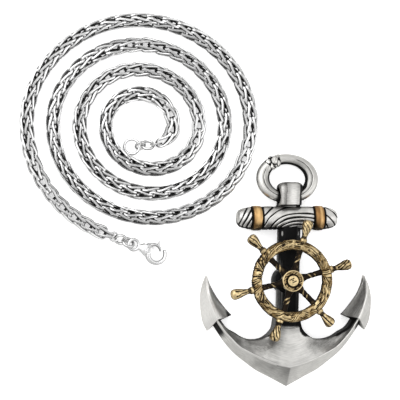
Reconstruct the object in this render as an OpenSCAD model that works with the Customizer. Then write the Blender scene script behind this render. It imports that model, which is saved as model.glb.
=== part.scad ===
// Anchor pendant with a ship's wheel, and its wheat chain lying beside it in a flat spiral.
// Everything rests on the plane z = 0. The origin is on the pendant's back, under the wheel's
// axis. +Y points up the pendant, towards its ring.

/* [Anchor] */
// Height of the middle plane of shank, stock and ring above the back
mid_z = 3.3; // [3.2:0.1:3.8]
// Width of the shank
shank_w = 5.8; // [5:0.1:6]
// Depth of the shank, front to back
shank_d = 4.6; // [4:0.1:5]
// Height of the front edge of the throats above the back
throat_z = 4.7; // [4:0.1:5]
// Height of the sharp outer edges of arms and flukes above the back
edge_z = 2.4; // [1.8:0.1:2.8]
// Width of the head that carries the ring
head_w = 6.4; // [6:0.1:6.8]
// Depth of the head
head_d = 6.3; // [5.8:0.1:6.6]
// Top of the head above the wheel's axis
head_top = 26.1; // [25.8:0.1:26.4]
// How far shank and head lean to the right, in degrees
shank_lean = 1.4; // [0:0.1:2]

/* [Stock] */
// Radius of the log
log_r = 3.13; // [3:0.01:3.2]
// Half of the log's length
log_half = 13.6; // [13:0.1:14.5]
// Distance of the log above the wheel's axis
log_y = 16.5; // [16.4:0.1:16.8]
// Width of one band
band_w = 2.5; // [2:0.1:3]
// Distance of a band's middle from the shank's middle
band_x = 8.4; // [8:0.1:9]
// Outer radius of a band
band_r = 3.28; // [3.2:0.01:3.3]

/* [Ship's wheel] */
// Height of the wheel's middle plane above the back
wheel_z = 9.2; // [9.1:0.1:9.8]
// Outer radius of the rim
rim_out = 10.9; // [10.5:0.1:11.2]
// Inner radius of the rim
rim_in = 8.1; // [7.8:0.1:8.4]
// Thickness of the rim
rim_t = 2.2; // [1.8:0.1:2.4]
// Radius of the hub
hub_r = 2.85; // [2.6:0.05:3]
// Radius of a spoke
spoke_r = 0.8; // [0.6:0.05:0.9]
// Distance of a handle's tip from the wheel's axis
handle_tip = 16.6; // [16:0.1:16.8]
// Turn of the first spoke
first_spoke = 15; // [0:1:59]
// Radius of the rivet's shaft
rivet_r = 1.1; // [1:0.05:1.2]

/* [Pendant ring] */
// Half width of the ring, outside
ring_out_x = 8.4; // [8.2:0.1:8.6]
// Half height of the ring, outside
ring_out_y = 6.62; // [6.5:0.02:6.8]
// Half width of the ring's opening
ring_in_x = 5.05; // [4.9:0.05:5.3]
// Half height of the ring's opening
ring_in_y = 3.89; // [3.8:0.01:4]
// Half of the wire's thickness, front to back
ring_half_t = 1.4; // [1.2:0.05:1.45]
// Radius of the hole in the head
eye_r = 2.15; // [2.1:0.05:2.2]
// Distance of that hole above the wheel's axis
eye_y = 22.35; // [22.2:0.05:22.5]

/* [Chain] */
// Thickness of the chain
chain_w = 3.8; // [3.5:0.1:3.9]
// Radius of the outermost half turn
coil_r = 33.5; // [33:0.5:36]
// Distance from one turn to the next
turn_pitch = 7; // [6.8:0.1:7.2]
// How much the coil is flattened from round
flatten = 0.92; // [0.9:0.01:1]
// Middle of the coil's upper half turns
coil_pos = [-39.5, 41]; // [-45:0.5:45]

/* [Hidden] */

steel = [0.72, 0.71, 0.69];
gold = [0.66, 0.5, 0.26];
band_gold = [0.78, 0.55, 0.28];
bright_steel = [0.8, 0.8, 0.8];

fine = 48;
gap = 0.05;
floor_gap = 0.02;

// A smooth curve through the rows of a table, at row i and a fraction f of the way to the next.
function row(t, i) = t[max(0, min(len(t) - 1, i))];
function smooth(t, i, f) =
    let (a = i == 0 ? 2 * t[0] - t[1] : row(t, i - 1), b = row(t, i), c = row(t, i + 1),
        d = i + 2 > len(t) - 1 ? 2 * c - b : row(t, i + 2))
    b + 0.5 * f * (c - a + f * (2 * a - 5 * b + 4 * c - d + f * (3 * b - a - 3 * c + d)));
function refined(t, steps) = concat(
    [for (i = [0:len(t) - 2], k = [0:steps - 1]) smooth(t, i, k / steps)], [t[len(t) - 1]]);

// Skin over a row of closed sections that all have the same number of points.
module loft(sections) {
    n = len(sections[0]);
    last = len(sections) - 1;
    points = [for (s = sections) each s];
    sides = [for (i = [0:last - 1], k = [0:n - 1])
        let (a = i * n + k, b = i * n + (k + 1) % n)
        each [[a, a + n, b + n], [a, b + n, b]]];
    first_cap = [for (k = [1:n - 2]) [0, k, k + 1]];
    last_cap = [for (k = [1:n - 2]) [last * n, last * n + k + 1, last * n + k]];
    polyhedron(points, concat(sides, first_cap, last_cap));
}

// Arm, from the middle of the crown into the fluke. Columns: throat edge x and y, front ridge
// x, y and height, outer edge x and y.
arm_rows = [
    [0, -8.8, 0, -22.9, 6.9, 0, -28.2],
    [2.9, -9.2, 3, -22.25, 6.85, 2.8, -26.7],
    [3.9, -12.8, 5.2, -21.5, 6.8, 5, -25.5],
    [6.5, -15.1, 8, -20.3, 6.6, 8.3, -23.8],
    [9.6, -15.55, 10.6, -19, 6.4, 11.3, -21.6],
    [12.3, -14.9, 13.1, -17.6, 6.1, 14.2, -19.3],
    [14.4, -13.6, 15, -15.8, 5.9, 16.4, -16.9],
    [16, -12.1, 17, -13.5, 5.6, 18.4, -14.2],
    [17.8, -9.2, 19.3, -10.2, 5.1, 20.6, -10.8]];
// Fluke, from its tip to its barbs. Columns: outer edge x and y, ridge x, y and height, inner
// edge x and y.
fluke_rows = [
    [21.6, 0.75, 21.45, 0.9, 2.7, 21.25, 0.7],
    [22.5, -0.9, 21.8, -1.4, 3.7, 20.7, -0.9],
    [23.2, -3.4, 21.6, -3.6, 4.6, 19.7, -3],
    [23.35, -5.8, 21, -5.8, 5.1, 18.5, -4.9],
    [23.15, -8.6, 20.2, -8, 5.5, 16.9, -6.9],
    [22.6, -11.2, 19.7, -9.1, 5.65, 15.8, -8.1],
    [21.5, -13.4, 19.2, -10.1, 5.75, 14.7, -9.1]];
// How far a fluke's back lies inside its edges; an arm's lies twice as far in
back_inset = 0.25;
// How far an arm's front slopes down from ridge to throat, at least
arm_slope = 1.6;

function mix(a, b, t) = a + (b - a) * t;
function arm_section(r) =
    let (throat = [r[0], r[1]], ridge = [r[2], r[3]], edge = [r[5], r[6]],
        back = mix(edge, ridge, back_inset * 2), middle = mix(throat, back, 0.5))
    [[throat[0], throat[1], min(throat_z, r[4] - arm_slope)], [ridge[0], ridge[1], r[4]],
        [edge[0], edge[1], edge_z],
        [back[0], back[1], 0], [middle[0], middle[1], 0], [throat[0], throat[1], 0]];
function fluke_section(r) =
    let (outer = [r[0], r[1]], ridge = [r[2], r[3]], inner = [r[5], r[6]],
        back_out = mix(outer, ridge, back_inset), back_in = mix(inner, ridge, back_inset))
    [[outer[0], outer[1], edge_z], [ridge[0], ridge[1], r[4]], [inner[0], inner[1], edge_z],
        [back_in[0], back_in[1], 0], [ridge[0], ridge[1], 0], [back_out[0], back_out[1], 0]];
function mirrored(sections) = [for (i = [len(sections) - 1:-1:1])
    [for (p = sections[i]) [-p[0], p[1], p[2]]]];

module arms() {
    half = [for (r = refined(arm_rows, 3)) arm_section(r)];
    loft(concat(mirrored(half), half));
}

module fluke() {
    loft([for (r = refined(fluke_rows, 2)) fluke_section(r)]);
}

shank_top = 15.2;
shank_foot = -12.8;
shank_chamfer = 1.3;
shank_back_chamfer = 0.6;
boss_r = 3.6;
boss_top = 5.9;
spacer_r = 2.3;
hub_back = wheel_z - 1.2;
hub_face = wheel_z + 1.1;
hub_rise = 1.45;
seat_play = 0.12;
// The square neck joins shank and head through the log.
neck = 3.4;
neck_foot = shank_top - 3;
neck_end = log_y + log_r + 0.9;
rivet_foot = 1.3;
rivet_head_r = 1.43;
rivet_head_h = 0.55;

module shank() {
    low = mid_z - shank_d / 2;
    high = mid_z + shank_d / 2;
    half = shank_w / 2;
    translate([0, shank_foot, 0]) rotate([0, 0, -shank_lean]) rotate([90, 0, 0])
        translate([0, 0, shank_foot - shank_top]) linear_extrude(shank_top - shank_foot) polygon(
            [[-half, low + shank_back_chamfer], [shank_back_chamfer - half, low],
                [half - shank_back_chamfer, low], [half, low + shank_back_chamfer],
                [half, high - shank_chamfer], [half - shank_chamfer, high],
                [shank_chamfer - half, high], [-half, high - shank_chamfer]]);
    cylinder(r = boss_r, h = boss_top, $fn = fine);
    cylinder(r = spacer_r, h = hub_back - 2 * gap, $fn = fine);
}

// How far the leaning shank's middle line is off to the right at a height y
function leaned(y) = (y - shank_foot) * tan(shank_lean);

module head() {
    foot = log_y + log_r + seat_play + gap;
    waist = log_y + 4.6;
    half = head_w / 2;
    round_r = 2.4;
    middle_z = mid_z + 0.15;
    translate([leaned(eye_y), 0, 0]) intersection() {
        translate([0, 0, middle_z]) rotate([0, 90, 0]) linear_extrude(head_w, center = true)
            union() {
                translate([-head_d / 2, foot]) square([head_d, head_top - round_r - foot]);
                translate([round_r - head_d / 2, foot])
                    square([head_d - 2 * round_r, head_top - foot]);
                for (s = [-1, 1])
                    translate([s * (head_d / 2 - round_r), head_top - round_r])
                        circle(round_r, $fn = fine);
            }
        linear_extrude(2 * head_d, center = true)
            polygon([[0.2 - half, foot], [half - 0.2, foot], [half - 0.3, waist],
                [half, head_top - 2], [half - 0.4, head_top - 0.9], [half - 1.3, head_top - 0.25],
                [0.6, head_top], [-0.6, head_top], [1.3 - half, head_top - 0.25],
                [0.4 - half, head_top - 0.9], [-half, head_top - 2], [0.3 - half, waist]]);
    }
}

module along_x(x, y, z) translate([x, y, z]) rotate([0, 90, 0]) children();

module anchor() {
    color(steel) difference() {
        union() {
            arms();
            fluke();
            mirror([1, 0, 0]) fluke();
            difference() {
                union() {
                    shank();
                    head();
                }
                along_x(0, log_y, mid_z)
                    cylinder(r = log_r + seat_play, h = 3 * head_w, center = true, $fn = fine);
            }
            translate([leaned(log_y) - neck / 2, neck_foot, mid_z - neck / 2])
                cube([neck, neck_end - neck_foot, neck]);
        }
        along_x(0, eye_y, mid_z) cylinder(r = eye_r, h = 2 * head_w, center = true, $fn = fine);
        translate([0, 0, rivet_foot - gap]) cylinder(r = rivet_r + gap / 2, h = wheel_z, $fn = fine);
    }
}

// The log's radius under a band, and the play beside it
groove_r = 2.95;
band_play = 0.15;
module stock() {
    in_x = band_x - band_w / 2 - band_play;
    out_x = band_x + band_w / 2 + band_play;
    profile = [[0, -log_half], [1.5, -log_half], [2.15, 0.35 - log_half],
        [2.5, 1.1 - log_half], [3, -out_x - 0.3], [groove_r, -out_x], [groove_r, -in_x],
        [log_r, 0.2 - in_x], [log_r, in_x - 0.2], [groove_r, in_x], [groove_r, out_x],
        [3, out_x + 0.3], [2.5, log_half - 1.1], [2.15, log_half - 0.35], [1.5, log_half],
        [0, log_half]];
    slot = neck + 0.2;
    color(steel) difference() {
        along_x(0, log_y, mid_z) rotate_extrude($fn = fine) polygon(profile);
        translate([leaned(log_y), log_y, mid_z]) cube([slot, 4 * log_r, slot], center = true);
    }
}

module stock_band(side) {
    color(band_gold) along_x(side * band_x, log_y, mid_z)
        difference() {
            cylinder(r = band_r, h = band_w, center = true, $fn = fine);
            cylinder(r = groove_r + gap, h = band_w + 1, center = true, $fn = fine);
        }
}

// Handle of the wheel, standing on the rim. Columns: radius, height.
handle_length = 6;
handle_rows = [[0, 0], [0.95, 0.1], [1, 0.55], [0.9, 1.05], [0.62, 1.4], [0.68, 2], [0.95, 3],
    [1.25, 4], [1.34, 4.6], [1.3, 5.1], [1.05, 5.6], [0.6, 5.92], [0, 6]];

module wheel() {
    rim_r = (rim_out + rim_in) / 2;
    half_w = (rim_out - rim_in) / 2;
    half_t = rim_t / 2;
    handle_foot = handle_tip - handle_length;
    spoke_start = hub_r - 0.6;
    chamfer = 0.7;
    side = half_t - 0.6;
    bore_r = rivet_r + 0.06;
    back = hub_back - wheel_z;
    face = hub_face - wheel_z;
    color(gold) translate([0, 0, wheel_z]) {
        rotate_extrude($fn = 96) translate([rim_r, 0])
            polygon([[-half_w, -side], [chamfer - half_w, -half_t], [half_w - chamfer, -half_t],
                [half_w, -side], [half_w, side], [half_w - chamfer, half_t],
                [chamfer - half_w, half_t], [-half_w, side]]);
        for (k = [0:5]) rotate([0, 90, first_spoke + 60 * k]) {
            translate([0, 0, spoke_start])
                cylinder(r = spoke_r, h = rim_r - spoke_start, $fn = 24);
            translate([0, 0, handle_foot])
                rotate_extrude($fn = 24) polygon(handle_rows);
        }
        rotate_extrude($fn = fine) polygon([[bore_r, back], [hub_r - 0.3, back],
            [hub_r, back + 0.3], [hub_r, hub_rise - 0.2], [hub_r - 0.15, hub_rise],
            [hub_r - 0.35, hub_rise], [hub_r - 1.15, face], [bore_r, face]]);
    }
}

module wheel_rivet() {
    color(gold) {
        translate([0, 0, rivet_foot])
            cylinder(r = rivet_r, h = hub_face + 2 * gap - rivet_foot, $fn = fine);
        translate([0, 0, hub_face + gap]) cylinder(r = rivet_head_r, h = rivet_head_h, $fn = fine);
    }
}

// The ring lies back until its far end meets the surface.
ring_a = (ring_out_x + ring_in_x) / 2;
ring_b = (ring_out_y + ring_in_y) / 2;
ring_play = 0.55;
ring_x = 0.3;
ring_centre = ring_b - ring_play;
ring_tilt = asin((mid_z - ring_half_t - floor_gap) / (ring_centre + ring_b));
ring_rounds = 48;
wire_sides = 12;
// The ring's closing joint is a row of three rough lumps.
weld_turn = 122;
weld_step = 9;
weld_r = 1.55;
weld_middle_r = 1.62;
weld_lift = 0.1;

function ring_section(t) =
    let (x = ring_a * cos(t), y = ring_b * sin(t),
        n = [ring_b * cos(t), ring_a * sin(t)] / norm([ring_b * cos(t), ring_a * sin(t)]),
        h = mix((ring_out_y - ring_in_y) / 2, (ring_out_x - ring_in_x) / 2, cos(t) * cos(t)))
    [for (k = [0:wire_sides - 1]) let (a = 360 * (k + 0.5) / wire_sides)
        [x + n[0] * h * cos(a), y + n[1] * h * cos(a), ring_half_t * sin(a)]];

module oval_wire() {
    points = [for (i = [0:ring_rounds - 1]) each ring_section(360 * i / ring_rounds)];
    faces = [for (i = [0:ring_rounds - 1], k = [0:wire_sides - 1])
        let (j = (i + 1) % ring_rounds, m = (k + 1) % wire_sides)
        each [[i * wire_sides + k, j * wire_sides + m, j * wire_sides + k],
            [i * wire_sides + k, i * wire_sides + m, j * wire_sides + m]]];
    polyhedron(points, faces);
}

module pendant_ring() {
    color(steel) translate([ring_x, eye_y, mid_z]) rotate([-ring_tilt, 0, 0])
        translate([0, ring_centre, 0]) {
            oval_wire();
            for (k = [-1:1]) translate([ring_a * cos(weld_turn + weld_step * k),
                ring_b * sin(weld_turn + weld_step * k), weld_lift]) rotate([20 * k, 0, 45 * k])
                sphere(k == 0 ? weld_middle_r : weld_r, $fn = 8);
        }
}

// The coil is made of half turns about two middles half a turn's pitch apart. Turn u counts
// half turns inwards, from 0 at the left side of the lower half in which the chain begins.
coil_step = turn_pitch / 2;
coil_start = -0.4;
coil_end = 7.45;
coil_rings = 79;
function coil_point(u) =
    let (j = ceil(u), low = j % 2 == 0, r = coil_r - coil_step * j,
        turn = (low ? -180 : 0) + 180 * (j - u))
    [coil_pos[0] + (low ? coil_step : 0) + r * cos(turn), coil_pos[1] + flatten * r * sin(turn)];
function heading(u) = let (d = coil_point(u + 0.01) - coil_point(u - 0.01)) d / norm(d);

// The chain's tube has flats at the top and the bottom, as deep as the chain is thick.
module chain() {
    sides = 8;
    r = chain_w / 2;
    tall = r / cos(180 / sides);
    us = [for (i = [0:coil_rings - 1]) mix(coil_start, coil_end, i / (coil_rings - 1))];
    color(bright_steel) loft([for (u = us)
        let (p = coil_point(u), d = heading(u), n = [d[1], -d[0]])
        [for (k = [0:sides - 1]) let (a = 360 * (k + 0.5) / sides)
            [p[0] + n[0] * r * cos(a), p[1] + n[1] * r * cos(a), r + tall * sin(a)]]]);
}

// A round link. Its plane holds the line that the links follow, and leans by the given angle.
module link(r, wire, lean) rotate([lean, 0, 0]) rotate_extrude($fn = fine)
    translate([r, 0]) circle(wire, $fn = 24);

link_r = 1.5;
link_wire = 0.38;
link_z = 1.44;
link_play = 0.1;
ring_slack = 0.36;
link_step = 2 * (link_r - link_wire) - link_play;
small_r = 1.25;
small_wire = 0.28;
ring_r = 1.95;
ring_wire = 0.36;
small_step = link_r + small_r - link_wire - small_wire - link_play;
ring_step = small_r + ring_r - small_wire - ring_wire - ring_slack;
first_link = link_r + link_wire + 2 * link_play;
clasp_turn = -22;
end_turn = 186;
module from_start(s) {
    p = coil_point(coil_start);
    translate([p[0], p[1], link_z]) rotate(clasp_turn) translate([s, 0, 0]) children();
}
module from_end(s) {
    p = coil_point(coil_end);
    translate([p[0], p[1], link_z]) rotate(end_turn) translate([s, 0, 0]) children();
}

module clasp_link_1() color(bright_steel) from_start(first_link) link(link_r, link_wire, 45);
module clasp_link_2() color(bright_steel) from_start(first_link + link_step)
    link(link_r, link_wire, -45);
module end_link_1() color(bright_steel) from_end(first_link) link(link_r, link_wire, 45);
module end_link_2() color(bright_steel) from_end(first_link + small_step)
    link(small_r, small_wire, -45);
module end_ring() {
    drop = (link_z - ring_wire - floor_gap) / 2;
    color(bright_steel) from_end(first_link + small_step + ring_step) translate([0, 0, -drop])
        rotate([0, asin(drop / ring_r), 0]) link(ring_r, ring_wire, 0);
}

// Lobster clasp, in its own frame: the eye at the origin, the nose along +X.
clasp_s = first_link + link_step + link_r + 0.07;
clasp_t = 2.6;
clasp_eye_r = 1.4;
clasp_eye_wire = 0.4;
claw_x = 6.6;
claw_out = 2.9;
claw_in = 1.75;
pivot = [3.9, 1.2];
lever_line = [[3.9, 1.2], [4.9, 2.05], [6, 2.2], [6.95, 1.7], [7.35, 1]];
lever_half = [0.45, 0.5, 0.42, 0.35, 0.25];
lever_eye = 0.75;
thumb_spur = [[6.05, 3.65], [6.4, 3.6], [6.45, 2.5]];
lever_t = 1.5;
lever_play = 0.1;
pin_r = 0.35;
pin_play = 0.07;

module clasp_body() {
    color(bright_steel) from_start(clasp_s) {
        link(clasp_eye_r, clasp_eye_wire, 0);
        difference() {
            linear_extrude(clasp_t, center = true) difference() {
                union() {
                    translate([claw_x, 0]) circle(claw_out, $fn = fine);
                    polygon([[1.25, -0.7], [2.6, -1.2], [5, -2.4], [5.4, 0], [4.7, 1.9],
                        [3.7, 2.3], [2.6, 1.6], [1.25, 0.7]]);
                }
                translate([claw_x, 0]) circle(claw_in, $fn = fine);
                polygon([[4.95, 0.5], [claw_x, 0], [9, 2], [9, 4], [4.4, 4], [4.4, 2.2]]);
            }
            translate([2.6, 0, -lever_t / 2 - lever_play]) cube([5, 3, lever_t + 2 * lever_play]);
        }
        translate([pivot[0], pivot[1], 0]) cylinder(r = pin_r, h = clasp_t, center = true, $fn = 24);
    }
}

module clasp_lever() {
    n = len(lever_line);
    ways = [for (i = [0:n - 1])
        let (d = lever_line[min(i + 1, n - 1)] - lever_line[max(i - 1, 0)])
        [-d[1], d[0]] / norm(d)];
    outside = [for (i = [0:n - 1]) lever_line[i] + ways[i] * lever_half[i]];
    inside = [for (i = [n - 1:-1:0]) lever_line[i] - ways[i] * lever_half[i]];
    color(bright_steel) from_start(clasp_s) difference() {
        linear_extrude(lever_t, center = true)
            polygon(concat([for (i = [0:2]) outside[i]], thumb_spur,
                [for (i = [3:n - 1]) outside[i]], inside,
                [for (a = [-60:-20:-220]) pivot + lever_eye * [cos(a), sin(a)]]));
        translate([pivot[0], pivot[1], 0])
            cylinder(r = pin_r + pin_play, h = clasp_t, center = true, $fn = 24);
    }
}

anchor();
stock();
stock_band(-1);  // stock_band_left
stock_band(1);  // stock_band_right
wheel();
wheel_rivet();
pendant_ring();
chain();
clasp_link_1();
clasp_link_2();
clasp_body();
clasp_lever();
end_link_1();
end_link_2();
end_ring();
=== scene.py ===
"""Anchor pendant with a ship's wheel, and its wheat chain lying beside it in an open spiral."""

import math
import random

import bmesh
import bpy
import numpy as np
from mathutils import Matrix, Vector


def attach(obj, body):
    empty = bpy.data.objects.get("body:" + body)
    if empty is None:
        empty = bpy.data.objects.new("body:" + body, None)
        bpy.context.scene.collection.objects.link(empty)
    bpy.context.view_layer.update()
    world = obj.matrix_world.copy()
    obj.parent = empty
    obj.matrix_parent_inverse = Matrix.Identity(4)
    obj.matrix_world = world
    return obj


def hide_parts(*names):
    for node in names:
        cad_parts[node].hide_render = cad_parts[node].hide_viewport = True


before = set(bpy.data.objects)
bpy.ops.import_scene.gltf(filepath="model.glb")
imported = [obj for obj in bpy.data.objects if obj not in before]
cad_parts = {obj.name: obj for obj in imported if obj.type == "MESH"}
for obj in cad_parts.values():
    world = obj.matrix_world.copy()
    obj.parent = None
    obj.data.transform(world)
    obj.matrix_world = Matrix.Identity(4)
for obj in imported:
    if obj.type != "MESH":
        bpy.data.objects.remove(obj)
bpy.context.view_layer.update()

MM = 0.001

# The CAD model's measures. Heights are from the surface and places from the wheel's axis, in mm.
# The coil's start and end are counted in half turns.
MID_Z = 3.3
THROAT_Z = 4.7
ARM_SLOPE = 1.6
EDGE_Z = 2.4
LOG_Y = 16.5
LOG_R = 3.13
LOG_HALF = 13.6
BAND_X = 8.4
BAND_W = 2.5
BAND_R = 3.28
BAND_BED_R = 2.95
WHEEL_Z = 9.2
RIM_OUT = 10.9
RIM_IN = 8.1
HUB_R = 2.85
HANDLE_TIP = 16.6
FIRST_SPOKE = 15
RIVET_R = 1.1
RING_OUT = (8.4, 6.62)
RING_IN = (4.88, 3.89)
RING_HALF_T = 1.4
EYE_Y = 22.35
EYE_R = 2.15
RING_PLAY = 0.55
RING_X = 0.3
FLOOR_GAP = 0.02
COIL_POS = (-39.5, 41.0)
COIL_R = 33.5
COIL_STEP = 3.5
COIL_FLATTEN = 0.92
COIL_START = -0.4
COIL_END = 7.45


# Curves and tables

def spline(a, b, c, d, f):
    """Points of a smooth curve through a, b, c and d, at the shares f of the way from b to c."""
    return b + 0.5 * f * (c - a + f * (2 * a - 5 * b + 4 * c - d + f * (3 * b - a - 3 * c + d)))


def smooth_rows(rows, steps):
    """A smooth curve through the rows of a table, with steps samples from one row to the next."""
    t = np.asarray(rows, float)
    t = np.vstack([2 * t[0] - t[1], t, 2 * t[-1] - t[-2]])
    f = (np.arange(steps) / steps)[:, None]
    return np.vstack([spline(*t[i:i + 4], f) for i in range(len(t) - 3)] + [t[-2:-1]])


def smooth_loop(rows, steps):
    """A smooth closed curve through the rows of a table."""
    t = np.asarray(rows, float)
    n = len(t)
    f = (np.arange(steps) / steps)[:, None]
    return np.vstack([spline(*t[np.arange(i - 1, i + 3) % n], f) for i in range(n)])


def circle(count):
    """Evenly spaced angles round a full turn."""
    return 2 * math.pi * np.arange(count) / count


def pressed_circle(angles, power):
    """Cosines and sines of a circle that is pressed towards a square."""
    c, s = np.cos(angles), np.sin(angles)
    k = (np.abs(c) ** power + np.abs(s) ** power) ** (-1 / power)
    return c * k, s * k


def columns(*parts):
    """One table whose last axis holds the parts, each spread to the size of the largest."""
    return np.stack(np.broadcast_arrays(*parts), -1)


def ramp(x, low, high):
    """0 below low, 1 above high, smooth between. low may be the larger one."""
    t = np.clip((np.asarray(x, float) - low) / (high - low), 0, 1)
    return t * t * (3 - 2 * t)


def unit(v):
    return v / np.linalg.norm(v, axis=-1, keepdims=True)


def lattice(i, j, seed):
    """A repeatable random number from 0 to 1 for each whole-number pair."""
    h = (i * 374761393 + j * 668265263 + seed * 974634777) & 0xFFFFFFFF
    h = ((h ^ (h >> 13)) * 1274126177) & 0xFFFFFFFF
    return ((h ^ (h >> 16)) & 0xFFFF) / 65535.0


def noise2(x, y, seed):
    """Smooth noise from 0 to 1 over the plane, in cells of size 1."""
    xi, yi = np.floor(x).astype(np.int64), np.floor(y).astype(np.int64)
    fx, fy = x - xi, y - yi
    fx, fy = fx * fx * (3 - 2 * fx), fy * fy * (3 - 2 * fy)
    a, b = lattice(xi, yi, seed), lattice(xi + 1, yi, seed)
    c, d = lattice(xi, yi + 1, seed), lattice(xi + 1, yi + 1, seed)
    return (a + (b - a) * fx) * (1 - fy) + (c + (d - c) * fx) * fy


# Meshes

# A rounded corner takes up at most this share of a side.
CORNER_SHARE = 0.4


def rounded(corners, radii, between, arc=4):
    """Rounds the corners of closed sections. corners is stations x corners x 3, in mm. Each corner
    gives arc + 1 points, and between says how many more each side gives. Returns the points and,
    for each, the corner or side that it belongs to and how far along the side it is."""
    c = np.asarray(corners, float)
    n = c.shape[1]
    arrive, leave = [], []
    for i in range(n):
        for ends, other in ((arrive, c[:, i - 1]), (leave, c[:, (i + 1) % n])):
            way = other - c[:, i]
            length = np.linalg.norm(way, axis=1, keepdims=True) + 1e-9
            ends.append(c[:, i] + way * np.minimum(radii[i] / length, CORNER_SHARE))
    points, marks = [], []
    for i in range(n):
        for t in np.arange(arc + 1) / arc:
            points.append((1 - t) ** 2 * arrive[i] + 2 * t * (1 - t) * c[:, i] + t * t * leave[i])
            marks.append((i, 0.0))
        for t in np.arange(1, between[i] + 1) / (between[i] + 1):
            points.append(leave[i] + (arrive[(i + 1) % n] - leave[i]) * t)
            marks.append((i, t))
    return np.stack(points, 1), marks


def hollowed(rings, marks, part, depth):
    """Lowers the points of one side of rounded sections, most in the side's middle."""
    for k, (side, t) in enumerate(marks):
        if side == part and t > 0:
            rings[:, k, 2] -= depth * 4 * t * (1 - t)
    return rings


def skin(rings, closed=False):
    """Vertices and faces over a row of closed sections, capped at both ends unless it is closed."""
    s, n = rings.shape[:2]
    verts = rings.reshape(-1, 3)
    k = np.arange(n)
    faces = []
    for i in range(s if closed else s - 1):
        a, b = i * n, ((i + 1) % s) * n
        faces.append(np.stack([a + k, a + (k + 1) % n, b + (k + 1) % n, b + k], 1))
    faces = np.vstack(faces).tolist()
    if not closed:
        ends = [rings[0].mean(0), rings[-1].mean(0)]
        low, high = len(verts), len(verts) + 1
        verts = np.vstack([verts, ends])
        last = (s - 1) * n
        faces += [[low, (j + 1) % n, j] for j in range(n)]
        faces += [[high, last + j, last + (j + 1) % n] for j in range(n)]
    return verts, faces


def turned(profile, sides, axis="z"):
    """Vertices and faces of a solid of revolution. profile rows are radius and height. Either its
    ends lie on the axis, or it is a closed loop off it."""
    p = np.asarray(profile, float)
    a = circle(sides)
    rings = columns(p[:, 0, None] * np.cos(a), p[:, 0, None] * np.sin(a), p[:, 1, None])
    if p[0, 0] > 1e-6:
        verts, faces = skin(rings, closed=True)
    else:
        verts, faces = skin(rings[1:-1])
        verts[-2:] = [[0, 0, p[0, 1]], [0, 0, p[-1, 1]]]
    return (turn_to_x(verts) if axis == "x" else verts), faces


def turn_to_x(v):
    """Lays what stands along Z along X."""
    return columns(v[:, 2], v[:, 1], -v[:, 0])


def mesh_object(name, verts, faces):
    """An object from vertices in mm."""
    mesh = bpy.data.meshes.new(name)
    mesh.from_pydata((np.asarray(verts) * MM).tolist(), [], faces)
    mesh.validate()
    mesh.update()
    obj = bpy.data.objects.new(name, mesh)
    bpy.context.collection.objects.link(obj)
    return obj


def facing_out(obj):
    """Turns all faces outwards."""
    bm = bmesh.new()
    bm.from_mesh(obj.data)
    bmesh.ops.recalc_face_normals(bm, faces=bm.faces)
    bm.to_mesh(obj.data)
    bm.free()
    return obj


def combined(target, tools, operation):
    """Joins or cuts closed meshes for good, and deletes the tools."""
    for obj in [*tools, target]:
        facing_out(obj)
    for tool in tools:
        mod = target.modifiers.new("form", "BOOLEAN")
        mod.operation = operation
        mod.object = tool
        mod.solver = "MANIFOLD"
    applied(target)
    for tool in tools:
        bpy.data.meshes.remove(tool.data)
    return target


def applied(obj):
    """Makes the modifiers' result the object's own mesh."""
    graph = bpy.context.evaluated_depsgraph_get()
    mesh = bpy.data.meshes.new_from_object(obj.evaluated_get(graph))
    old = obj.data
    obj.modifiers.clear()
    obj.data = mesh
    mesh.name = obj.name
    bpy.data.meshes.remove(old)
    return obj


def corners_of(obj):
    """The mesh's vertices and normals, vertices in mm."""
    n = len(obj.data.vertices)
    v, m = np.empty(n * 3), np.empty(n * 3)
    obj.data.vertices.foreach_get("co", v)
    obj.data.vertex_normals.foreach_get("vector", m)
    return v.reshape(-1, 3) / MM, m.reshape(-1, 3)


def joined(name, parts, default):
    """Joins parts, each of vertices, faces and marks, into one object. Returns it with a row of
    marks for each vertex: those of its part, or the default where the joining made it."""
    objects = [mesh_object("part", verts, faces) for verts, faces, _ in parts]
    objects[0].name = name
    obj = combined(objects[0], objects[1:], "UNION")
    table = {}
    for verts, _, marks in parts:
        table.update(zip(map(tuple, np.round(verts, 3)), marks))
    spots = map(tuple, np.round(corners_of(obj)[0], 3))
    return obj, np.array([table.get(spot, default) for spot in spots])


def with_ends(values, low, high):
    """Values for the vertices of a capped skin: those of its sections, and those of its two ends."""
    return np.append(values.ravel(), [low, high])


def mark(obj, name, values):
    """Stores a number or a vector for each vertex under a name that materials read."""
    values = np.asarray(values, float)
    kind, field = ("FLOAT_VECTOR", "vector") if values.ndim == 2 else ("FLOAT", "value")
    layer = obj.data.attributes.new(name, kind, "POINT")
    layer.data.foreach_set(field, values.ravel())


def mark_wear_and_shade(obj, black_and_shade, tone, grain):
    """Stores what the metals read: where black stays, as patina and as painted shade, how shaded the
    metal is, both from 0 to 1, and each vertex's place across and along the brush's way."""
    mark(obj, "black_and_shade", np.clip(black_and_shade, 0, 1))
    mark(obj, "tone", np.clip(tone, 0, 1))
    mark(obj, "grain", grain)


def finished(obj, material, body, nodes=(), sharp=40):
    """Shading, finish, body and CAD nodes of a piece."""
    obj.data.polygons.foreach_set("use_smooth", [True] * len(obj.data.polygons))
    obj.data.set_sharp_from_angle(angle=math.radians(sharp))
    obj.data.materials.clear()
    obj.data.materials.append(material)
    if nodes:
        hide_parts(*nodes)
    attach(obj, body)
    return obj


# Finishes

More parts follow.
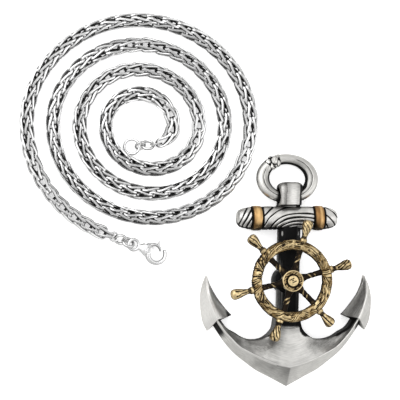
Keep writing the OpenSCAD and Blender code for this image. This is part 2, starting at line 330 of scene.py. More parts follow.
class Nodes:
    """A small hand for building node trees: values and links are set as nodes are made."""

    def __init__(self, tree):
        self.tree = tree

    def add(self, kind, settings=None, **inputs):
        node = self.tree.nodes.new(kind)
        for key, value in (settings or {}).items():
            setattr(node, key, value)
        for key, value in inputs.items():
            self.put(node.inputs[key.replace("_", " ")], value)
        return node

    def put(self, socket, value):
        if isinstance(value, bpy.types.NodeSocket):
            self.tree.links.new(value, socket)
        else:
            socket.default_value = value

    def math(self, operation, a, b=0.0, clamp=False):
        node = self.add("ShaderNodeMath", {"operation": operation, "use_clamp": clamp})
        self.put(node.inputs[0], a)
        self.put(node.inputs[1], b)
        return node.outputs[0]

    def span(self, value, low, high, to_low=0.0, to_high=1.0):
        node = self.add("ShaderNodeMapRange", {"interpolation_type": "SMOOTHSTEP"})
        for key, v in (("Value", value), ("From Min", low), ("From Max", high),
                       ("To Min", to_low), ("To Max", to_high)):
            self.put(node.inputs[key], v)
        return node.outputs["Result"]

    def mix(self, factor, a, b):
        node = self.add("ShaderNodeMix", {"data_type": "RGBA"})
        self.put(node.inputs[0], factor)
        self.put(node.inputs[6], a)
        self.put(node.inputs[7], b)
        return node.outputs[2]


def group(name, inputs, outputs, build):
    """A shader node group. inputs are (name, kind, value), outputs are (name, kind)."""
    tree = bpy.data.node_groups.new(name, "ShaderNodeTree")
    for label, kind, value in inputs:
        socket = tree.interface.new_socket(label, in_out="INPUT", socket_type="NodeSocket" + kind)
        if value is not None:
            socket.default_value = value
    for label, kind in outputs:
        tree.interface.new_socket(label, in_out="OUTPUT", socket_type="NodeSocket" + kind)
    hand = Nodes(tree)
    source, sink = hand.add("NodeGroupInput"), hand.add("NodeGroupOutput")
    for label, value in build(hand, source.outputs).items():
        hand.put(sink.inputs[label], value)
    return tree


def brushing(hand, given):
    """Fine lines left by a brush, which are noise drawn out along the grain, and broad clouds."""
    scale = hand.add("ShaderNodeVectorMath", {"operation": "MULTIPLY"})
    hand.put(scale.inputs[0], given["Grain"])
    hand.put(scale.inputs[1], given["Lines"])
    fine = hand.add("ShaderNodeTexNoise", Vector=scale.outputs[0], Scale=1.0, Detail=3.0,
                    Roughness=0.6)
    broad = hand.add("ShaderNodeTexNoise", Vector=given["Place"], Scale=given["Cloud"], Detail=3.0)
    return {"Lines": hand.span(fine.outputs["Fac"], 0.3, 0.7),
            "Clouds": hand.span(broad.outputs["Fac"], 0.3, 0.7)}


def tarnish_and_shade(hand, given):
    """Where black stays: the antique finish's patina and painted shade, from the darkening mark, broken
    up by the brushed lines and by noise."""
    spots = hand.add("ShaderNodeTexNoise", Vector=given["Place"], Scale=given["Scale"], Detail=4.0,
                     Roughness=0.65)
    rough = hand.math("ADD", hand.math("MULTIPLY", given["Lines"], 0.5),
                      hand.math("MULTIPLY", spots.outputs["Fac"], 0.5))
    broken = hand.math("MULTIPLY", hand.math("SUBTRACT", rough, 0.5), given["Break"])
    total = hand.math("ADD", given["Soot"], broken)
    return {"Black": hand.span(total, given["From"], given["To"])}


BRUSHING = group("brushed lines", [("Grain", "Vector", None), ("Place", "Vector", None),
                                   ("Lines", "Vector", (8, 0.4, 8)), ("Cloud", "Float", 300.0)],
                 [("Lines", "Float"), ("Clouds", "Float")], brushing)
TARNISH_AND_SHADE = group("tarnish_and_shade", [("Place", "Vector", None), ("Lines", "Float", 0.5),
                            ("Soot", "Float", 0.0), ("Scale", "Float", 900.0),
                            ("Break", "Float", 0.5), ("From", "Float", 0.2), ("To", "Float", 0.8)],
                [("Black", "Float")], tarnish_and_shade)

# The same for every metal: how much the brushed lines roughen and raise it, how large and dark its
# clouds are, and what its black is like
BRUSH_ROUGHNESS = 0.06
BRUSH_STRENGTH = 0.35
BRUSH_DEPTH = 0.02
CLOUD_SCALE = 260.0
CLOUD_TONE = 0.12
BLACK_ROUGHNESS = 0.5
BLACK_METALLIC = 0.9


def metal(name, light, shade, black, rough, lines=(9, 0.35, 9), line_tone=0.16, black_break=0.5):
    """A worn metal. Its clean colour runs from light to painted shade by the tone mark, the brushed
    lines and broad clouds. Black is patina in recesses and painted shade, as the black_and_shade mark says."""
    mat = bpy.data.materials.new(name)
    mat.use_nodes = True
    mat.node_tree.nodes.clear()
    h = Nodes(mat.node_tree)
    place = h.add("ShaderNodeTexCoord").outputs["Object"]
    grain = h.add("ShaderNodeAttribute", {"attribute_name": "grain"}).outputs["Vector"]
    black_and_shade = h.add("ShaderNodeAttribute", {"attribute_name": "black_and_shade"}).outputs["Fac"]
    tone = h.add("ShaderNodeAttribute", {"attribute_name": "tone"}).outputs["Fac"]
    brushed = h.add("ShaderNodeGroup", {"node_tree": BRUSHING}, Grain=grain, Place=place,
                    Lines=lines, Cloud=CLOUD_SCALE).outputs
    dark = h.add("ShaderNodeGroup", {"node_tree": TARNISH_AND_SHADE}, Place=place, Lines=brushed["Lines"],
                 Soot=black_and_shade, Break=black_break).outputs["Black"]
    streaks = h.math("MULTIPLY", h.math("SUBTRACT", brushed["Lines"], 0.5), 2 * line_tone)
    clouds = h.math("MULTIPLY", brushed["Clouds"], CLOUD_TONE)
    shadow = h.math("ADD", h.math("ADD", tone, streaks), clouds, clamp=True)
    clean = h.mix(shadow, (*light, 1), (*shade, 1))
    colour = h.mix(dark, clean, (*black, 1))
    roughness = h.math("ADD", h.span(dark, 0, 1, rough, BLACK_ROUGHNESS),
                       h.math("MULTIPLY", brushed["Lines"], BRUSH_ROUGHNESS))
    relief = h.add("ShaderNodeBump", Strength=BRUSH_STRENGTH, Distance=BRUSH_DEPTH * MM,
                   Height=brushed["Lines"])
    shader = h.add("ShaderNodeBsdfPrincipled", Base_Color=colour, Roughness=roughness,
                   Metallic=h.span(dark, 0, 1, 1.0, BLACK_METALLIC), Normal=relief.outputs["Normal"])
    h.add("ShaderNodeOutputMaterial", Surface=shader.outputs[0])
    return mat


ANTIQUED_STEEL = metal("antiqued steel", (0.71, 0.7, 0.675), (0.15, 0.147, 0.14),
                       (0.007, 0.007, 0.007), 0.38, lines=(6.5, 0.14, 6.5), line_tone=0.13,
                       black_break=0.4)
GRAINED_STEEL = metal("grained steel", (0.7, 0.69, 0.665), (0.3, 0.295, 0.285),
                      (0.008, 0.008, 0.008), 0.34, black_break=0.15)
RING_STEEL = metal("ring steel", (0.7, 0.69, 0.66), (0.2, 0.197, 0.19),
                   (0.007, 0.007, 0.007), 0.3)
BAND_GOLD = metal("band gold", (0.82, 0.54, 0.245), (0.3, 0.16, 0.06), (0.04, 0.025, 0.01), 0.34,
                  black_break=0.2)
ANTIQUED_GOLD = metal("antiqued gold", (0.84, 0.67, 0.38), (0.19, 0.12, 0.045),
                      (0.012, 0.008, 0.005), 0.33, black_break=0.3)
BRIGHT_STEEL = metal("bright steel", (0.8, 0.8, 0.8), (0.26, 0.26, 0.26),
                     (0.045, 0.045, 0.045), 0.2, line_tone=0.05, black_break=0.2)


# Camera, floor and light

LEAN = math.radians(12)
LENS_DISTANCE = 900.0
SENSOR = 36
VIEW_WIDTH = 106.0
VIEW_CENTRE = (-23.0, 21.3)
FLOOR_IN_METAL = (0.78, 0.78, 0.77)
FLOOR_GLOW = 0.6
LIGHT_AIM = Vector((-0.01, 0.01, 0))


def camera():
    """Looks down from a little to the pendant's left, as the photograph does."""
    right, up = VIEW_CENTRE
    data = bpy.data.cameras.new("camera")
    data.sensor_width = data.sensor_height = SENSOR
    data.lens = SENSOR * LENS_DISTANCE / VIEW_WIDTH
    data.clip_end = 10
    cam = bpy.data.objects.new("camera", data)
    bpy.context.collection.objects.link(cam)
    cam.rotation_euler = (0, -LEAN, 0)
    target = Vector((right * math.cos(LEAN), up, MID_Z + right * math.sin(LEAN)))
    away = Vector((-math.sin(LEAN), 0, math.cos(LEAN)))
    cam.location = (target + away * LENS_DISTANCE) * MM
    bpy.context.scene.camera = cam


def area_light(name, place, size, power):
    data = bpy.data.lights.new(name, "AREA")
    data.shape = "RECTANGLE"
    data.size, data.size_y = size
    data.energy = power
    lamp = bpy.data.objects.new(name, data)
    bpy.context.collection.objects.link(lamp)
    lamp.location = place
    lamp.rotation_euler = (LIGHT_AIM - Vector(place)).to_track_quat("-Z", "Y").to_euler()


def pale_floor():
    """A white surface that glows a little. In the metal it is seen as a light grey one."""
    bpy.ops.mesh.primitive_plane_add(size=3, location=(0, 0, 0))
    floor = bpy.context.object
    floor.name = "floor"
    mat = bpy.data.materials.new("pale floor")
    mat.use_nodes = True
    shader = mat.node_tree.nodes["Principled BSDF"]
    h = Nodes(mat.node_tree)
    place = h.add("ShaderNodeTexCoord").outputs["Object"]
    soft = h.add("ShaderNodeTexNoise", Vector=place, Scale=6.0, Detail=2.0)
    pale = h.mix(soft.outputs["Fac"], (0.9, 0.9, 0.9, 1), (0.93, 0.93, 0.93, 1))
    mirrored = h.add("ShaderNodeLightPath").outputs["Is Glossy Ray"]
    h.put(shader.inputs["Base Color"], h.mix(mirrored, pale, (*FLOOR_IN_METAL, 1)))
    h.put(shader.inputs["Emission Color"], h.mix(mirrored, pale, (0, 0, 0, 1)))
    shader.inputs["Emission Strength"].default_value = FLOOR_GLOW
    shader.inputs["Roughness"].default_value = 0.9
    shader.inputs["Specular IOR Level"].default_value = 0.1
    floor.data.materials.append(mat)


def surroundings():
    """Bright all round, but dimmer overhead where the camera stands, at the right and below."""
    world = bpy.data.worlds.new("studio")
    bpy.context.scene.world = world
    world.use_nodes = True
    w = Nodes(world.node_tree)
    back = world.node_tree.nodes["Background"]
    way = w.add("ShaderNodeTexCoord").outputs["Generated"]
    parts = w.add("ShaderNodeSeparateXYZ", Vector=way)
    overhead = w.span(parts.outputs["Z"], 0.7, 0.99, 1.0, 0.7)
    side = w.span(parts.outputs["X"], -0.7, 0.8, 1.12, 0.86)
    below = w.span(parts.outputs["Y"], -0.95, -0.25, 0.45, 1.0)
    w.put(back.inputs["Color"], (1, 1, 1, 1))
    w.put(back.inputs["Strength"], w.math("MULTIPLY", w.math("MULTIPLY", overhead, side), below))


camera()
pale_floor()
surroundings()
area_light("key", place=(-0.35, 0.35, 0.6), size=(0.9, 0.9), power=3.4)
area_light("fill", place=(0.5, -0.1, 0.45), size=(0.6, 0.8), power=1.2)
bpy.context.scene.view_settings.view_transform = "Standard"


# Anchor

# Columns: throat edge x and y, front ridge x, y and height, outer edge x and y.
ARM_ROWS = [
    (0, -8.8, 0, -22.9, 6.9, 0, -28.2),
    (2.9, -9.2, 3, -22.25, 6.85, 2.8, -26.7),
    (3.9, -12.8, 5.2, -21.5, 6.8, 5, -25.5),
    (6.5, -15.1, 8, -20.3, 6.6, 8.3, -23.8),
    (9.6, -15.55, 10.6, -19, 6.4, 11.3, -21.6),
    (12.3, -14.9, 13.1, -17.6, 6.1, 14.2, -19.3),
    (14.4, -13.6, 15, -15.8, 5.9, 16.4, -16.9),
    (16.5, -12.3, 17, -13.5, 5.6, 18.4, -14.2),
    (18.6, -9.4, 19.3, -10.2, 5.1, 20.6, -10.8)]
# Columns: outer edge x and y, ridge x, y and height, inner edge x and y.
FLUKE_ROWS = [
    (21.5, 1.2, 21.43, 1.28, 2.5, 21.36, 1.18),
    (22.5, -0.9, 21.8, -1.4, 3.7, 20.62, -0.9),
    (23.2, -3.4, 21.6, -3.6, 4.6, 19.55, -3),
    (23.35, -5.8, 21, -5.8, 5.1, 18.32, -4.9),
    (23.15, -8.6, 20.2, -8, 5.5, 16.75, -6.9),
    (22.6, -11.2, 19.7, -9.1, 5.65, 15.72, -8.1),
    (21.5, -13.4, 19.2, -10.1, 5.75, 14.7, -9.1)]
# How deep a face and an inner facet are hollowed, left and right. The left facet is swelled.
FACE_SAG = {-1: 0.08, 1: 0.4}
FLUKE_SAG = {-1: -0.6, 1: 0.35}
THROAT_RISE = 0.165
SHANK_W = 5.8
SHANK_D = 4.6
SHANK_TOP = 15.2
SHANK_FOOT = -12.8
SHANK_LEAN = math.radians(1.4)
SHANK_BACK_CUT = 0.6
SHANK_FRONT_CUT = 1.3
BOSS_R = 3.6
SPACER_R = 2.3
NECK_HALF = 1.7
SEAT_PLAY = 0.12


def at_height(xy, z):
    return columns(*xy.T, z)


def arm_rings(sag):
    """Sections of the right half of crown and arm."""
    r = smooth_rows(ARM_ROWS, 10)
    throat, ridge, edge = r[:, 0:2], r[:, 2:4], r[:, 5:7]
    back = (edge + ridge) / 2
    # Beside the shank the throat's edge rises a little, so that the crown's front stays even.
    throat_z = np.minimum(THROAT_Z, r[:, 4] - ARM_SLOPE)
    throat_z = throat_z + THROAT_RISE * np.clip(-9.2 - r[:, 1], 0, 3.6) * ramp(r[:, 0], 11, 4.2)
    corners = np.stack([at_height(throat, throat_z), at_height(ridge, r[:, 4]),
                        at_height(edge, EDGE_Z), at_height(back, 0.0),
                        at_height((throat + back) / 2, 0.0), at_height(throat, 0.0)], 1)
    rings, marks = rounded(corners, (0.45, 0.3, 0.25, 0.5, 0.5, 0.4), (20, 14, 3, 1, 1, 6))
    hollow = ramp(r[:, 2], 5, 11) * ramp(np.arange(len(r)), len(r), len(r) * 0.6)
    return hollowed(rings, marks, 0, sag * hollow)


def arms():
    left = arm_rings(FACE_SAG[-1])[:0:-1] * (-1, 1, 1)
    return mesh_object("arms", *skin(np.concatenate([left, arm_rings(FACE_SAG[1])])))


def fluke(side):
    r = smooth_rows(FLUKE_ROWS, 8)
    outer, ridge, inner = r[:, 0:2], r[:, 2:4], r[:, 5:7]
    corners = np.stack([at_height(outer, EDGE_Z), at_height(ridge, r[:, 4]),
                        at_height(inner, EDGE_Z), at_height(inner + (ridge - inner) * 0.25, 0.0),
                        at_height(ridge, 0.0), at_height(outer + (ridge - outer) * 0.25, 0.0)], 1)
    rings, marks = rounded(corners, (0.22, 0.2, 0.22, 0.4, 0.4, 0.4), (14, 14, 3, 1, 1, 3))
    hollowed(rings, marks, 1, FLUKE_SAG[side] * ramp(np.arange(len(r)), 0, 8))
    return mesh_object("fluke", *skin(rings * (side, 1, 1)))


def leaned(y):
    """How far the leaning shank's middle line is off to the right at a height y."""
    return (y - SHANK_FOOT) * math.tan(SHANK_LEAN)


def shank():
    low, high, half = MID_Z - SHANK_D / 2, MID_Z + SHANK_D / 2, SHANK_W / 2
    back, cut = SHANK_BACK_CUT, SHANK_FRONT_CUT
    outline = [(-half, low + back), (-half + back, low), (half - back, low), (half, low + back),
               (half, high - cut), (half - cut, high), (cut - half, high), (-half, high - cut)]
    ys = np.linspace(SHANK_FOOT, SHANK_TOP, 72)
    corners = np.array([[(x + leaned(y), y, z) for x, z in outline] for y in ys])
    rings, _ = rounded(corners, (0.3,) * 8, (1, 1, 1, 6, 4, 8, 4, 6), arc=3)
    return mesh_object("shank", *skin(rings))


# Columns: place along Y, half width, height of the back, height of the front.
HEAD_ROWS = [(18.9, 3.3, 1.6, 3.6), (19.5, 3.3, 0.9, 3.8), (19.8, 3.15, 0.5, 4.4),
             (19.98, 3.0, 0.35, 6.2), (20.1, 3.0, 0.35, 6.36), (20.6, 3.0, 0.3, 6.42),
             (21.2, 2.98, 0.3, 6.45), (22.6, 3.05, 0.3, 6.45), (23.8, 3.16, 0.35, 6.42),
             (24.6, 3.2, 0.6, 6.25), (25.2, 3.1, 0.95, 5.95), (25.65, 2.75, 1.4, 5.45),
             (25.95, 2.1, 1.9, 4.9), (26.1, 1.2, 2.5, 4.2)]
HEAD_HALF = 3.2
# Places across the head's front: its crease, and its right edge, where a black chamfer begins
HEAD_CREASE = -1.5
HEAD_EDGE = 2.05


def head():
    """The block that the ring passes through. A crease runs up its front, left of the middle."""
    corners = []
    for y, half, low, high in smooth_rows(HEAD_ROWS, 5):
        bow = 0.2 * (high - low) / 6
        edge, crease = HEAD_EDGE * half / HEAD_HALF, HEAD_CREASE * half / HEAD_HALF
        corners.append([(-half, y, low), (half, y, low), (half, y, high - (half - edge) * 1.35),
                        (edge, y, high - 2.2 * bow), (crease, y, high), (-half, y, high - 4 * bow)])
    rings, _ = rounded(corners, (0.7, 0.7, 0.5, 0.35, 0.3, 0.6), (2, 6, 6, 10, 8, 6), arc=5)
    rings[..., 0] += leaned(EYE_Y) + (rings[..., 1] - EYE_Y) * math.tan(2 * SHANK_LEAN)
    return mesh_object("head", *skin(rings))


def drum(name, radius, low, high, centre=(0, 0), bevel=0.2, sides=72):
    v, f = turned([(0, low), (radius - bevel, low), (radius, low + bevel), (radius, high - bevel),
                   (radius - bevel, high), (0, high)], sides)
    return mesh_object(name, v + np.array([*centre, 0]), f)


def rod_along_x(name, radius, half, y, z, sides=64):
    v, f = turned([(0, -half), (radius, -half), (radius, half), (0, half)], sides, "x")
    return mesh_object(name, v + np.array([0, y, z]), f)


def box_mm(name, low, high):
    (x0, y0, z0), (x1, y1, z1) = low, high
    v = [(x, y, z) for x in (x0, x1) for y in (y0, y1) for z in (z0, z1)]
    f = [(0, 1, 3, 2), (4, 6, 7, 5), (0, 4, 5, 1), (2, 3, 7, 6), (0, 2, 6, 4), (1, 5, 7, 3)]
    return mesh_object(name, v, f)


def nearest_on(line, points):
    """Distance from each point to a line of points in the plane, the place along the line, and
    whether the point is on the line's left."""
    a, b = line[:-1], line[1:]
    d = b - a
    lengths = np.linalg.norm(d, axis=1)
    starts = np.concatenate([[0], np.cumsum(lengths)[:-1]])
    best, along = np.full(len(points), 1e9), np.zeros(len(points))
    left = np.zeros(len(points), bool)
    for i in range(len(a)):
        off = points - a[i]
        t = np.clip((off @ d[i]) / (lengths[i] ** 2 + 1e-12), 0, 1)
        gap = np.linalg.norm(off - t[:, None] * d[i], axis=1)
        closer = gap < best
        best[closer] = gap[closer]
        along[closer] = (starts[i] + t * lengths[i])[closer]
        left[closer] = (d[i, 0] * off[:, 1] - d[i, 1] * off[:, 0] > 0)[closer]
    return best, along, left


def anchor():
    """Shank and head with the log's seat cut out, then crown, arms, flukes and boss, then the
    eye."""
    upper = combined(shank(), [head()], "UNION")
    combined(upper, [rod_along_x("seat", LOG_R + SEAT_PLAY, 10, LOG_Y, MID_Z)], "DIFFERENCE")
    mid = leaned(LOG_Y)
    neck = box_mm("neck", (mid - NECK_HALF, SHANK_TOP - 3, MID_Z - NECK_HALF),
                  (mid + NECK_HALF, LOG_Y + LOG_R + 0.9, MID_Z + 0.5))
    obj = arms()
    obj.name = "anchor_casting"
    combined(obj, [fluke(1), fluke(-1), drum("boss", BOSS_R, 0, 5.9, bevel=0.3),
                   drum("spacer", SPACER_R, 2, 7.9), upper, neck], "UNION")
    combined(obj, [rod_along_x("eye", EYE_R, 12, EYE_Y, MID_Z)], "DIFFERENCE")
    at = Places(*corners_of(obj))
    black_and_shade, tone = arm_wear_and_shade(at)
    for wear in (fluke_wear_and_shade, shank_wear_and_shade, head_wear_and_shade):
        black_and_shade, tone = wear(at, black_and_shade, tone)
    mark_wear_and_shade(obj, black_and_shade, tone, brush_way(at))
    return finished(obj, ANTIQUED_STEEL, "root", ["anchor"], sharp=50)


# The last row of a fluke: its outer barb, the foot of its ridge and its inner barb
OUTER_BARB = FLUKE_ROWS[-1][0:2]
RIDGE_FOOT = FLUKE_ROWS[-1][2:4]
INNER_BARB = FLUKE_ROWS[-1][5:7]


def beyond(points, a, b):
    """How far each point lies to the left of the line from a to b."""
    way = unit(np.subtract(b, a))
    return (points[:, 1] - a[1]) * way[0] - (points[:, 0] - a[0]) * way[1]


class Places:
    """Where the casting's vertices lie, measured in the ways that its wear and painted shade follow."""

    def __init__(self, v, n):
        x, y, z = v.T
        out, flat = np.abs(x), columns(np.abs(x), y)
        rows, fluke_rows = smooth_rows(ARM_ROWS, 4), smooth_rows(FLUKE_ROWS, 4)
        self.x, self.y, self.z, self.n, self.out = x, y, z, n, out
        self.right = x > 0
        self.ridge = rows[:, 2:4]
        self.to_throat, _, _ = nearest_on(rows[6:, 0:2], flat)
        self.to_ridge, self.along, above = nearest_on(self.ridge, flat)
        self.to_spine, self.down, _ = nearest_on(fluke_rows[:, 2:4], flat)
        to_inner, _, _ = nearest_on(fluke_rows[:, 5:7], flat)
        self.across = self.to_spine / (self.to_spine + to_inner + 1e-6)
        self.cloud = (noise2(x * 0.9 + 40, y * 0.9 + 40, 7) * 0.6
                      + noise2(x * 2.3 + 9, y * 2.3 + 90, 8) * 0.4)
        # The fluke ends at the two edges that run from its ridge to its barbs.
        self.past = np.maximum(beyond(flat, INNER_BARB, RIDGE_FOOT),
                               beyond(flat, RIDGE_FOOT, OUTER_BARB))
        self.on_fluke = (out > 14) & (self.past > -0.06) & (z > 0.2)
        self.off = x - leaned(y)
        on_shank = (y > -15.3) & (np.abs(self.off) < SHANK_W / 2 + 0.15)
        self.upright = on_shank | (np.hypot(x, y) < BOSS_R + 0.1)
        self.below = self.upright & (y < -11)
        self.on_head = y > LOG_Y + LOG_R
        on_arm = ~self.on_fluke & ~self.upright
        self.front = on_arm & (z > EDGE_Z + 0.15)
        self.face, self.bevel = self.front & above, self.front & ~above
        self.wall = on_arm & (self.to_throat < 1.2) & (n[:, 2] < 0.45) & (z > 0.2)

    def sided(self, left, right):
        """One value on the left half and another on the right half."""
        return np.where(self.right, right, left)


# Painted shade on the crown's face below the throats, and one painted light place, the last.
# Columns: place across and up, half width, half height, how dark.
SHADE_SPOTS = [(-6.5, -17.6, 5.2, 2.2, 0.44), (-4.6, -16.2, 2.4, 1.9, 0.5), (7.4, -16.6, 3.6, 1.8, 0.5),
           (-1.8, -14.6, 1.6, 2.4, 0.2), (-8.2, -15.9, 3.4, 0.8, 0.5), (3.4, -15.4, 2.2, 2.2, -0.12)]


def arm_wear_and_shade(at):
    """Crown and arms, with painted light and shade: the face above the ridge, the bevel below it and the
    throats' walls.
    """
    x, y, out, to_throat, to_ridge, cloud = at.x, at.y, at.out, at.to_throat, at.to_ridge, at.cloud
    spot_shade = sum(dark * np.exp(-((x - place_x) / wide) ** 2 - ((y - place_y) / high) ** 2)
                 for place_x, place_y, wide, high, dark in SHADE_SPOTS)
    # Painted shade: the face darkens towards the throats, and the left bevel is darker than the right.
    by_throat = at.sided(0.34, 0.4) * ramp(to_throat, 4.2, 0.6)
    face_tone = 0.13 + 0.1 * ramp(to_ridge, 5, 0.5) + ramp(out, 6, 11) * (0.02 + by_throat)
    face_tone = face_tone + 0.2 * (cloud - 0.45) + spot_shade * (0.75 + 0.5 * cloud)
    left_bevel = 0.24 + 0.34 * ramp(to_ridge, 4.5, 0.5) * ramp(out, 13, 5)
    bevel_tone = at.sided(left_bevel, 0.06) + 0.12 * (cloud - 0.5)
    tone = np.select([at.wall, at.bevel, at.face], [0.85, bevel_tone, face_tone], 0.0)
    # The throat's edge and its walls are black, patina and painted shade, but the left wall lightens to the
    # shank.
    thin = at.sided(np.where(out > 9.5, 0.3, 1.1), 0.85 + 0.7 * ramp(out, 8, 4.5))
    edge = 0.95 * ramp(to_throat, thin, thin * 0.5) * ramp(y, -15.4, -14.4) * (at.z > 3)
    wall_black_and_shade = at.sided(0.42 + 0.45 * ramp(out, 4.5, 7.5), 0.93)
    black_and_shade = np.select([at.wall, at.face], [wall_black_and_shade, edge], 0.0)
    # Painted shadows of the flukes lie on the arm at their feet, the right one far along it.
    above = at.face | at.wall
    before = -at.past - at.sided(0.35, 0.75) * to_ridge * above
    reach = np.where(at.bevel, at.sided(6.4, 3.4), at.sided(2.6, 2.8))
    fluke_shadow = ramp(before, reach, reach * 0.25) * ramp(to_ridge, 0.26, 0.5) * ramp(out, 9.5, 12)
    black_and_shade = np.maximum(black_and_shade, fluke_shadow * (at.front | at.wall))
    haze = ramp(before, reach + 3.2, reach) * ramp(out, 8, 12) * above
    tone = tone + at.sided(0.15, 0.5) * haze
    # A painted highlight runs along the ridge, with a painted shaded line beside it on the face.
    tone = np.where(at.front & (to_ridge < 0.2), 0.0, tone)
    beside = at.face & (to_ridge > 0.24) & (to_ridge < 0.42)
    line_tone = 0.75 * at.sided(ramp(out, 1, 4), ramp(out, 5, 9))
    return black_and_shade, np.where(beside, np.maximum(tone, line_tone), tone)


def fluke_wear_and_shade(at, black_and_shade, tone):
    """Flukes, lit and shaded in paint: light outer facets, a dark right inner one, and a left inner
    one that darkens towards its barb."""
    y, out, across, down, to_spine = at.y, at.out, at.across, at.down, at.to_spine
    inner = at.on_fluke & (at.n[:, 0] * np.sign(at.x) < 0.03)
    right_tone = 0.96 - 0.42 * ramp(across, 0.6, 0.1) * ramp(down, 2.5, 6)
    right_facet_shade = 0.12 + 0.42 * ramp(down, 5.0, 1.5) * ramp(across, 0.9, 0.2)
    right_facet_shade = right_facet_shade + 0.12 * ramp(across, 0.6, 0.95)
    fade = 0.35 + 0.3 * ramp(y, -4, -7.5)
    shaded = ramp(across, fade, fade + 0.45) * ramp(y, -0.2, -2.2)
    facet_tone = at.sided(0.06 + 0.94 * shaded, right_tone)
    tone = np.select([inner, at.on_fluke], [facet_tone, at.sided(0.0, 0.14)], tone)
    facet_shade = at.sided(0.5 * shaded * ramp(across, 0.75, 0.97), right_facet_shade)
    to_barb = np.hypot(out - INNER_BARB[0], y - INNER_BARB[1])
    barb = at.sided(0.97 * ramp(out, 17.5, 15.5) * ramp(y, -5.2, -7.2), 0.45 * ramp(to_barb, 2.2, 0.6))
    line = ramp(np.abs(to_spine - 0.42), 0.2, 0.08) * ramp(down, 0.8, 1.6) * (down < 9.5)
    black_and_shade = np.where(inner, np.maximum.reduce([facet_shade, barb, line * at.sided(0.3, 0.5)]), black_and_shade)
    # A painted highlight runs along each fluke's spine.
    return black_and_shade, np.where(at.on_fluke & (to_spine < at.sided(0.22, 0.4)), 0.0, tone)


def shank_wear_and_shade(at, black_and_shade, tone):
    """Shank and boss are black, but for the left wall. The black, with the wheel's painted shadow,
    ends in a ragged line on the crown."""
    x, y, off = at.x, at.y, at.off
    on_boss = np.abs(off) > SHANK_W / 2 + 0.1
    facing_left = ramp(at.n[:, 0], -0.45, -0.8) * np.where(on_boss, 0.25, 1)
    ragged = y + 0.04 * x + 0.7 * (noise2(x * 0.22 + 50, y * 3.2, 12) - 0.5)
    dark = ramp(ragged, -13.5, -11.3)
    wall_black = np.where(at.z < 3.2, 0.1 + 0.4 * ramp(y, 2, 6), 0.6 + 0.3 * ramp(y, 3, 8))
    here = at.upright & ~at.on_head
    black_and_shade = np.where(here, dark * (1 - (1 - wall_black) * facing_left), black_and_shade)
    tone = np.where(here, 0.14 + 0.4 * facing_left + 0.2 * (at.cloud - 0.5), tone)
    # Painted shade on the crown below the wheel, darker to the left.
    shade = 0.2 * ramp(ragged, -14.6, -12.4) + 0.5 * ramp(x, 0, -2.5)
    tone = np.where(at.below, tone + shade, tone)
    # Two painted highlights on the chamfers below the log
    chamfer_highlight = ramp(np.abs(np.abs(off + 0.1) - 2.15), 0.3, 0.1) * ramp(np.abs(y - 12.4), 1.0, 0.3)
    return np.where(at.upright & (at.n[:, 2] > 0.3), black_and_shade - 0.55 * chamfer_highlight, black_and_shade), tone


def head_wear_and_shade(at, black_and_shade, tone):
    """Head: dark sides, a crease, and painted light and shade: a left facet that darkens towards the
    crease, a lighter strip right of it, and a black foot that is blackening and painted shadow.
    """
    y, z = at.y, at.z
    across = at.x - leaned(EYE_Y) - (y - EYE_Y) * math.tan(2 * SHANK_LEAN)
    left_tone = 0.4 + 0.6 * ramp(across, -3.0, HEAD_CREASE)
    right_tone = 0.08 + 0.4 * ramp(np.abs(across - 0.4), 0.3, 1.6)
    tone = np.where(at.on_head, np.where(across < HEAD_CREASE, left_tone, right_tone), tone)
    right_side = ramp(across, HEAD_EDGE - 0.05, HEAD_EDGE + 0.15) * ramp(y, 25.6, 25.0)
    left_side = (across < -2.8) * ramp(z, 3.7, 3.2)
    foot = ramp(y, 20.2, 20.02) * ramp(z, 4.6, 5.6)
    in_eye = (np.hypot(y - EYE_Y, z - MID_Z) < EYE_R + 0.25) & (np.abs(at.n[:, 0]) < 0.5)
    line = ramp(np.abs(across - HEAD_CREASE), 0.18, 0.05) * 0.5
    black = np.maximum.reduce([0.97 * (right_side + left_side), foot, in_eye, line])
    return np.where(at.on_head, black, black_and_shade), tone


def brush_way(at):
    """The brush went along the arms and flukes, across the crown, up the shank and across the
    head."""
    x, y, z, out = at.x, at.y, at.z, at.out
    ridge_x, ridge_y = at.ridge.T
    slopes = np.gradient(ridge_y, ridge_x + 1e-6 * np.arange(len(ridge_x)))
    slope = np.interp(out, ridge_x, slopes) * ramp(out, 0, 4)
    over = (y - np.interp(out, ridge_x, ridge_y)) / np.sqrt(1 + slope ** 2)
    grain = columns(over, at.sided(-at.along, at.along), z)
    on_crown = (at.front | at.below) & (out < 7)
    for here, way in ((at.on_fluke, (at.to_spine, at.down, z)), (on_crown, (over, x, z)),
                      (at.upright & ~at.below, (x, y, z)), (at.on_head, (y, x, z))):
        grain[here] = columns(*way)[here]
    return grain


anchor()


# Stock

# The log's grain is a set of nested ovals round a knot below the log. Each of its three stretches
# has its own rings.
KNOT = (3.5, -5.1)
KNOT_STRETCH = 2.4
MIDDLE_RINGS = (3.53, 4.5, 5.55, 6.6, 8.5, 9.95, 11.6)
RIGHT_RINGS = (4.4, 5.7, 7.6, 9.5)
LEFT_RINGS = (10.6, 11.6, 12.6, 13.7, 14.8)
LARGEST_OVAL = 40.0
HALVINGS = 24
GROOVE_W = 0.28
GROOVE_D = 0.3


def grain_size(x, y):
    """Size s of the oval through a point, found by halving. On the oval, with x and y from the
    knot, (x / (s + KNOT_STRETCH))^2 + (y / s)^2 is 1."""
    dx, dy = np.abs(x - KNOT[0]), np.abs(y - KNOT[1])
    low, high = np.full(x.shape, 0.01), np.full(x.shape, LARGEST_OVAL)
    for _ in range(HALVINGS):
        s = (low + high) / 2
        outside = (dx / (s + KNOT_STRETCH)) ** 2 + (dy / s) ** 2 > 1
        low, high = np.where(outside, s, low), np.where(outside, high, s)
    return (low + high) / 2


